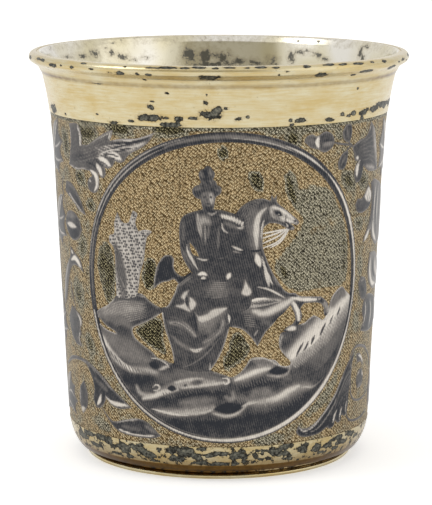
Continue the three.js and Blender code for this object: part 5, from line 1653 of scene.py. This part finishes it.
class CUP_OT_foot(bpy.types.Operator):
    """Turn the foot ring: a bright bead on the table under a hollow darkened with dirt and painted shade
    """

    bl_idname = "cup.foot"
    bl_label = "Foot ring"

    def execute(self, context):
        sizes, colours = context.scene.cup_sizes, context.scene.cup_colours
        bead = 0.48
        inside = FOOT_RADIUS - 2.2
        bead_top = 2 * bead
        hollow = curve_through([
            (FOOT_RADIUS - 0.22, bead_top - 0.06), (FOOT_RADIUS - 0.5, bead_top + 0.16),
            (FOOT_RADIUS - 0.6, (bead_top + FOOT_HEIGHT) / 2), (FOOT_RADIUS - 0.42, FOOT_HEIGHT - 0.12),
            (FOOT_RADIUS - 0.2, FOOT_HEIGHT)], 0.1)
        top = FOOT_HEIGHT + 0.1
        section = [
            (inside + 0.2, 0), (FOOT_RADIUS - bead - 0.1, 0),
            *arc((FOOT_RADIUS - bead, bead), bead, -80, 62, 12), *hollow.tolist(),
            (FOOT_RADIUS - 0.2, top), (inside, top), (inside, 0.2), (inside + 0.2, 0)]
        piece = turned("foot_ring_visual", section, sizes.sides)
        dress(piece, "gilt_silver", [burnished_gilt(colours)], "foot_ring")
        sheet = on_sheet(mesh_points(piece.data))
        set_sheet_map(piece.data)
        set_tone(piece.data, "spot", -1 + 1.12 * smoothstep((sheet[:, 1] - bead_top + 0.1) / 0.5))
        # The hollow above the bead is darkened with dirt and painted shade, less so on the right, where
        # a painted sheen is left
        hollow_dirt_and_shade = smoothstep((sheet[:, 1] - bead_top + 0.2) / 0.4) * (1 - 0.5 * painted_sheen_right(sheet))
        set_tone(piece.data, "dirt_and_shade", 0.3 + 0.95 * hollow_dirt_and_shade)
        return {"FINISHED"}


class CUP_OT_medallions(bpy.types.Operator):
    """Let the round frame, rider, horse and hills into the front, and copy them to the back"""

    bl_idname = "cup.medallions"
    bl_label = "Niello medallions"

    def execute(self, context):
        sizes, colours = context.scene.cup_sizes, context.scene.cup_colours
        material = engraved_niello(colours)

        def circle(radius, first=0.0, last=2 * math.pi, steps=96):
            angles = np.linspace(first, last, steps + 1)
            return (MIDDLE + radius * np.column_stack((np.cos(angles), np.sin(angles)))).tolist()

        def bearing(point):
            return math.atan2(point[1] - MIDDLE[1], point[0] - MIDDLE[0])

        def on_ring(tone, width, radius, first, last, kind):
            """A mark along the round frame between two angles in degrees, counted up from its right."""
            return kind(tone, width, *circle(radius, math.radians(first), math.radians(last), 12))

        end, start = bearing(SKYLINE[-1][-1]), bearing(SKYLINE[0][0])
        under_ring = np.array(circle(FRAME_INNER_RADIUS + 0.25, end, start, 60)) - (0, FRAME_DROP)
        hills = [*SKYLINE, under_ring.tolist()]
        inner = np.array(circle(FRAME_INNER_RADIUS)) - (0, FRAME_DROP)
        ring = [[circle(MEDALLION_RADIUS)], [inner.tolist()]]
        ring_marks = [
            # The first mark, a soft streak along the top, is a painted highlight as on a rounded
            # moulding
            on_ring(0.4, 0.8, 29.5, 66, 112, glow),
            on_ring(0.85, 0.5, 29.6, 47, 68, brush),
            on_ring(1.0, 0.6, 29.7, 0, 48, brush),
            on_ring(0.7, 0.3, 29.2, 62, 88, brush),
            on_ring(0.7, 0.4, 30.0, 104, 176, brush),
            on_ring(0.72, 0.3, 29.3, 112, 160, brush),
            on_ring(0.5, 0.3, 29.4, 150, 190, brush),
            on_ring(0.85, 0.42, 29.8, 192, 262, line),
            on_ring(0.92, 0.95, 29.75, 248, 352, brush),
            on_ring(0.9, 0.45, 29.8, -16, 24, brush),
        ]
        # Outlines, starting tone, marks, how far each stands up, its rim's tone and the pieces beside it
        figures = {
            "frame": (ring, 0.07, ring_marks, 0.03, 0.22, [hills]),
            "hills": ([hills, HILL_SLIT], 0.17, HILL_MARKS, 0, 0.7, [ROBE, FOREHAND, SHRUB]),
            "shrub": ([SHRUB], 0.76, SHRUB_MARKS, 0.01, 0.6, [hills]),
            "horse_tail": ([TAIL], 0.06, TAIL_MARKS, 0.02, 0.6, [ROBE, RIDER]),
            "horse_haunch": ([HAUNCH], 0.13, HAUNCH_MARKS, 0.02, 0.6, [ROBE, FOREHAND]),
            "horse_forehand": (
                [FOREHAND], 0.13, FOREHAND_MARKS, 0.02, 0.5, [ROBE, RIDER, HAUNCH, hills]),
            "robe": ([ROBE], 0.17, ROBE_MARKS, 0.03, 0.7, [RIDER, FOREHAND, HAUNCH, hills]),
            "rider": ([RIDER, ARM_GAP], 0.14, RIDER_MARKS, 0.04, 0.36, [ROBE, FOREHAND, TAIL]),
        }
        for name, (outlines, base, marks, layer, rim, beside) in figures.items():
            both_sides(
                name, material, outlines, base, marks, sizes, sizes.figure_grain, layer, rim,
                dots=SHRUB_DOTS if name == "shrub" else None, beside=beside)
        for place, path in enumerate(REINS):
            both_sides(
                f"rein_{place}", material, [ribbon(path, REIN_WIDTH)], REIN_TONE, [], sizes,
                sizes.figure_grain, layer=0.03, rim=0, has_solid=False)
        return {"FINISHED"}


class CUP_OT_leaves(bpy.types.Operator):
    """Let the leaves and thin stems into the half panels beside the medallion, and mirror them behind"""

    bl_idname = "cup.leaves"
    bl_label = "Niello leaves"

    def execute(self, context):
        sizes, colours = context.scene.cup_sizes, context.scene.cup_colours
        material = engraved_niello(colours)
        for half, leaves in (("right", RIGHT_LEAVES), ("left", LEFT_LEAVES)):
            for name, (outline, base, marks) in leaves.items():
                both_sides(
                    f"{half}_{name}", material, [outline], base, marks, sizes, sizes.leaf_grain,
                    layer=0.02, rim=0.46, mirrored=True)
        sprigs = [(ribbon(path, width), base, []) for width, base, path in THIN_STEMS]
        for place, (outline, base, marks) in enumerate([*SIDE_LEAVES, *sprigs]):
            both_sides(
                f"sprig_{place}", material, [outline], base, marks, sizes, sizes.leaf_grain,
                rim=0.5 if marks else 0, mirrored=True, has_solid=False)
        return {"FINISHED"}


class CUP_OT_stems(bpy.types.Operator):
    """Let a swaying stem into the middle of each leaf panel"""

    bl_idname = "cup.stems"
    bl_label = "Panel stems"

    def execute(self, context):
        sizes, colours = context.scene.cup_sizes, context.scene.cup_colours
        material = engraved_niello(colours)
        rows, clear = 25, 2.2
        thin, swell, lean = 0.6, 1.1, 0.5
        heights = np.linspace(FIELD_BOTTOM + clear, FIELD_TOP - clear, rows)
        share = np.linspace(0, 1, rows)
        sway = lean * np.sin(4 * math.pi * share)
        half = (thin + swell * np.sin(math.pi * share)) / 2
        for name, side in (("right_stem", 1), ("left_stem", -1)):
            middle = MIDDLE[0] + side * PANEL_MIDDLE
            left = np.column_stack((middle + sway - half, heights))
            right = np.column_stack((middle + sway + half, heights))[::-1]
            vein = np.column_stack((middle + sway, heights))
            outline = [left.tolist(), [right[0].tolist()], right[1:].tolist()]
            marks = [line(0.75, 0.4, *vein.tolist())]
            stem = inlay(
                f"{name}_visual", [outline], 0.25, marks, sizes, sizes.leaf_grain, layer=0.02, rim=0.6)
            dress(stem, "niello", [material], name)
        return {"FINISHED"}


class CUP_OT_stage(bpy.types.Operator):
    """Set the cup on a white floor under plain soft light, in front of the camera"""

    bl_idname = "cup.stage"
    bl_label = "Stage"

    def execute(self, context):
        scene = context.scene
        scene.view_settings.view_transform = "Standard"
        fresh()
        bpy.ops.mesh.primitive_plane_add(size=FLOOR_SIZE)
        floor = context.active_object
        floor.name = "floor"
        material, tree, shader = new_material("paper_white_matt")
        path = add_node(tree, "LightPath")
        seen = add_node(tree, "Math", {
            0: path.outputs["Is Camera Ray"], 1: path.outputs["Is Glossy Ray"]}, operation="MAXIMUM")
        level = add_node(tree, "MapRange", {
            "Value": path.outputs["Is Camera Ray"], "To Min": FLOOR_GLOW_IN_METAL, "To Max": FLOOR_GLOW})
        lift = add_node(tree, "Math", {0: seen, 1: level}, operation="MULTIPLY")
        feed(tree, shader, {
            "Base Color": rgba(linear("#f7f6f4")), "Roughness": 0.9, "Specular IOR Level": 0.1,
            "Emission Color": (1, 1, 1, 1), "Emission Strength": lift})
        floor.data.materials.append(material)
        bpy.ops.mesh.primitive_plane_add(size=1)
        card = context.active_object
        card.name = "grey_card"
        bpy.ops.object.mode_set(mode="EDIT")
        bpy.ops.mesh.select_all(action="SELECT")
        bpy.ops.transform.rotate(value=math.pi / 2, orient_axis="X", center_override=(0, 0, 0))
        bpy.ops.transform.resize(value=CARD_SIZE)
        bpy.ops.transform.translate(value=CARD_PLACE)
        bpy.ops.object.mode_set(mode="OBJECT")
        material, tree, shader = new_material("grey_felt_matt")
        feed(tree, shader, {
            "Base Color": rgba(linear("#d2ccb6")), "Roughness": 1, "Specular IOR Level": 0})
        card.data.materials.append(material)

        world = bpy.data.worlds.new("white_studio")
        scene.world = world
        world.use_nodes = True
        tree = world.node_tree
        tree.nodes.clear()
        path = add_node(tree, "LightPath")
        sharp = add_node(tree, "Math", {
            0: path.outputs["Is Camera Ray"], 1: path.outputs["Is Glossy Ray"]}, operation="MAXIMUM")
        sharp = add_node(tree, "Math", {
            0: sharp, 1: path.outputs["Is Transmission Ray"]}, operation="MAXIMUM")
        strength = add_node(tree, "MapRange", {"Value": sharp, "To Min": WORLD_LIGHT, "To Max": 1})
        background = add_node(tree, "Background", {"Color": (1, 1, 1, 1), "Strength": strength})
        add_node(tree, "OutputWorld", {"Surface": background})

        for name, place, size, power in LAMPS:
            data = bpy.data.lights.new(name, "AREA")
            data.shape = "DISK"
            data.size = size
            data.energy = power
            lamp = bpy.data.objects.new(name, data)
            lamp.location = place
            aim = LAMP_TARGET - Vector(place)
            lamp.rotation_euler = aim.to_track_quat("-Z", "Y").to_euler()
            scene.collection.objects.link(lamp)

        data = bpy.data.cameras.new("camera")
        data.sensor_fit = "VERTICAL"
        data.sensor_height = CAMERA_SENSOR
        data.lens = CAMERA_LENS
        data.clip_start = 0.01
        camera = bpy.data.objects.new("camera", data)
        x, y = CAMERA_SIDE * MM, -CAMERA_BACK * MM
        turn = CAMERA_TURN
        camera.location = (
            x * math.cos(turn) - y * math.sin(turn),
            x * math.sin(turn) + y * math.cos(turn),
            CAMERA_HEIGHT * MM)
        camera.rotation_euler = (math.pi / 2 - CAMERA_PITCH, 0, turn)
        scene.collection.objects.link(camera)
        scene.camera = camera
        return {"FINISHED"}


class CUP_PT_panel(bpy.types.Panel):
    """Lists the cup's operators, sizes and colours"""

    bl_label = "Niello silver cup"
    bl_idname = "CUP_PT_panel"
    bl_space_type = "VIEW_3D"
    bl_region_type = "UI"
    bl_category = "Cup"

    def draw(self, context):
        for operator in OPERATORS:
            self.layout.operator(operator.bl_idname)
        for group in (context.scene.cup_sizes, context.scene.cup_colours):
            for name in group.__annotations__:
                self.layout.prop(group, name)


OPERATORS = (
    CUP_OT_body, CUP_OT_lip, CUP_OT_foot, CUP_OT_medallions, CUP_OT_leaves, CUP_OT_stems, CUP_OT_stage)
CLASSES = (CupSizes, CupColours, *OPERATORS, CUP_PT_panel)


def register():
    for cls in CLASSES:
        bpy.utils.register_class(cls)
    bpy.types.Scene.cup_sizes = PointerProperty(type=CupSizes)
    bpy.types.Scene.cup_colours = PointerProperty(type=CupColours)


def unregister():
    del bpy.types.Scene.cup_colours
    del bpy.types.Scene.cup_sizes
    for cls in reversed(CLASSES):
        bpy.utils.unregister_class(cls)


def main():
    register()
    bpy.ops.cup.body()
    bpy.ops.cup.lip()
    bpy.ops.cup.foot()
    bpy.ops.cup.medallions()
    bpy.ops.cup.leaves()
    bpy.ops.cup.stems()
    bpy.ops.cup.stage()


if __name__ == "__main__":
    main()
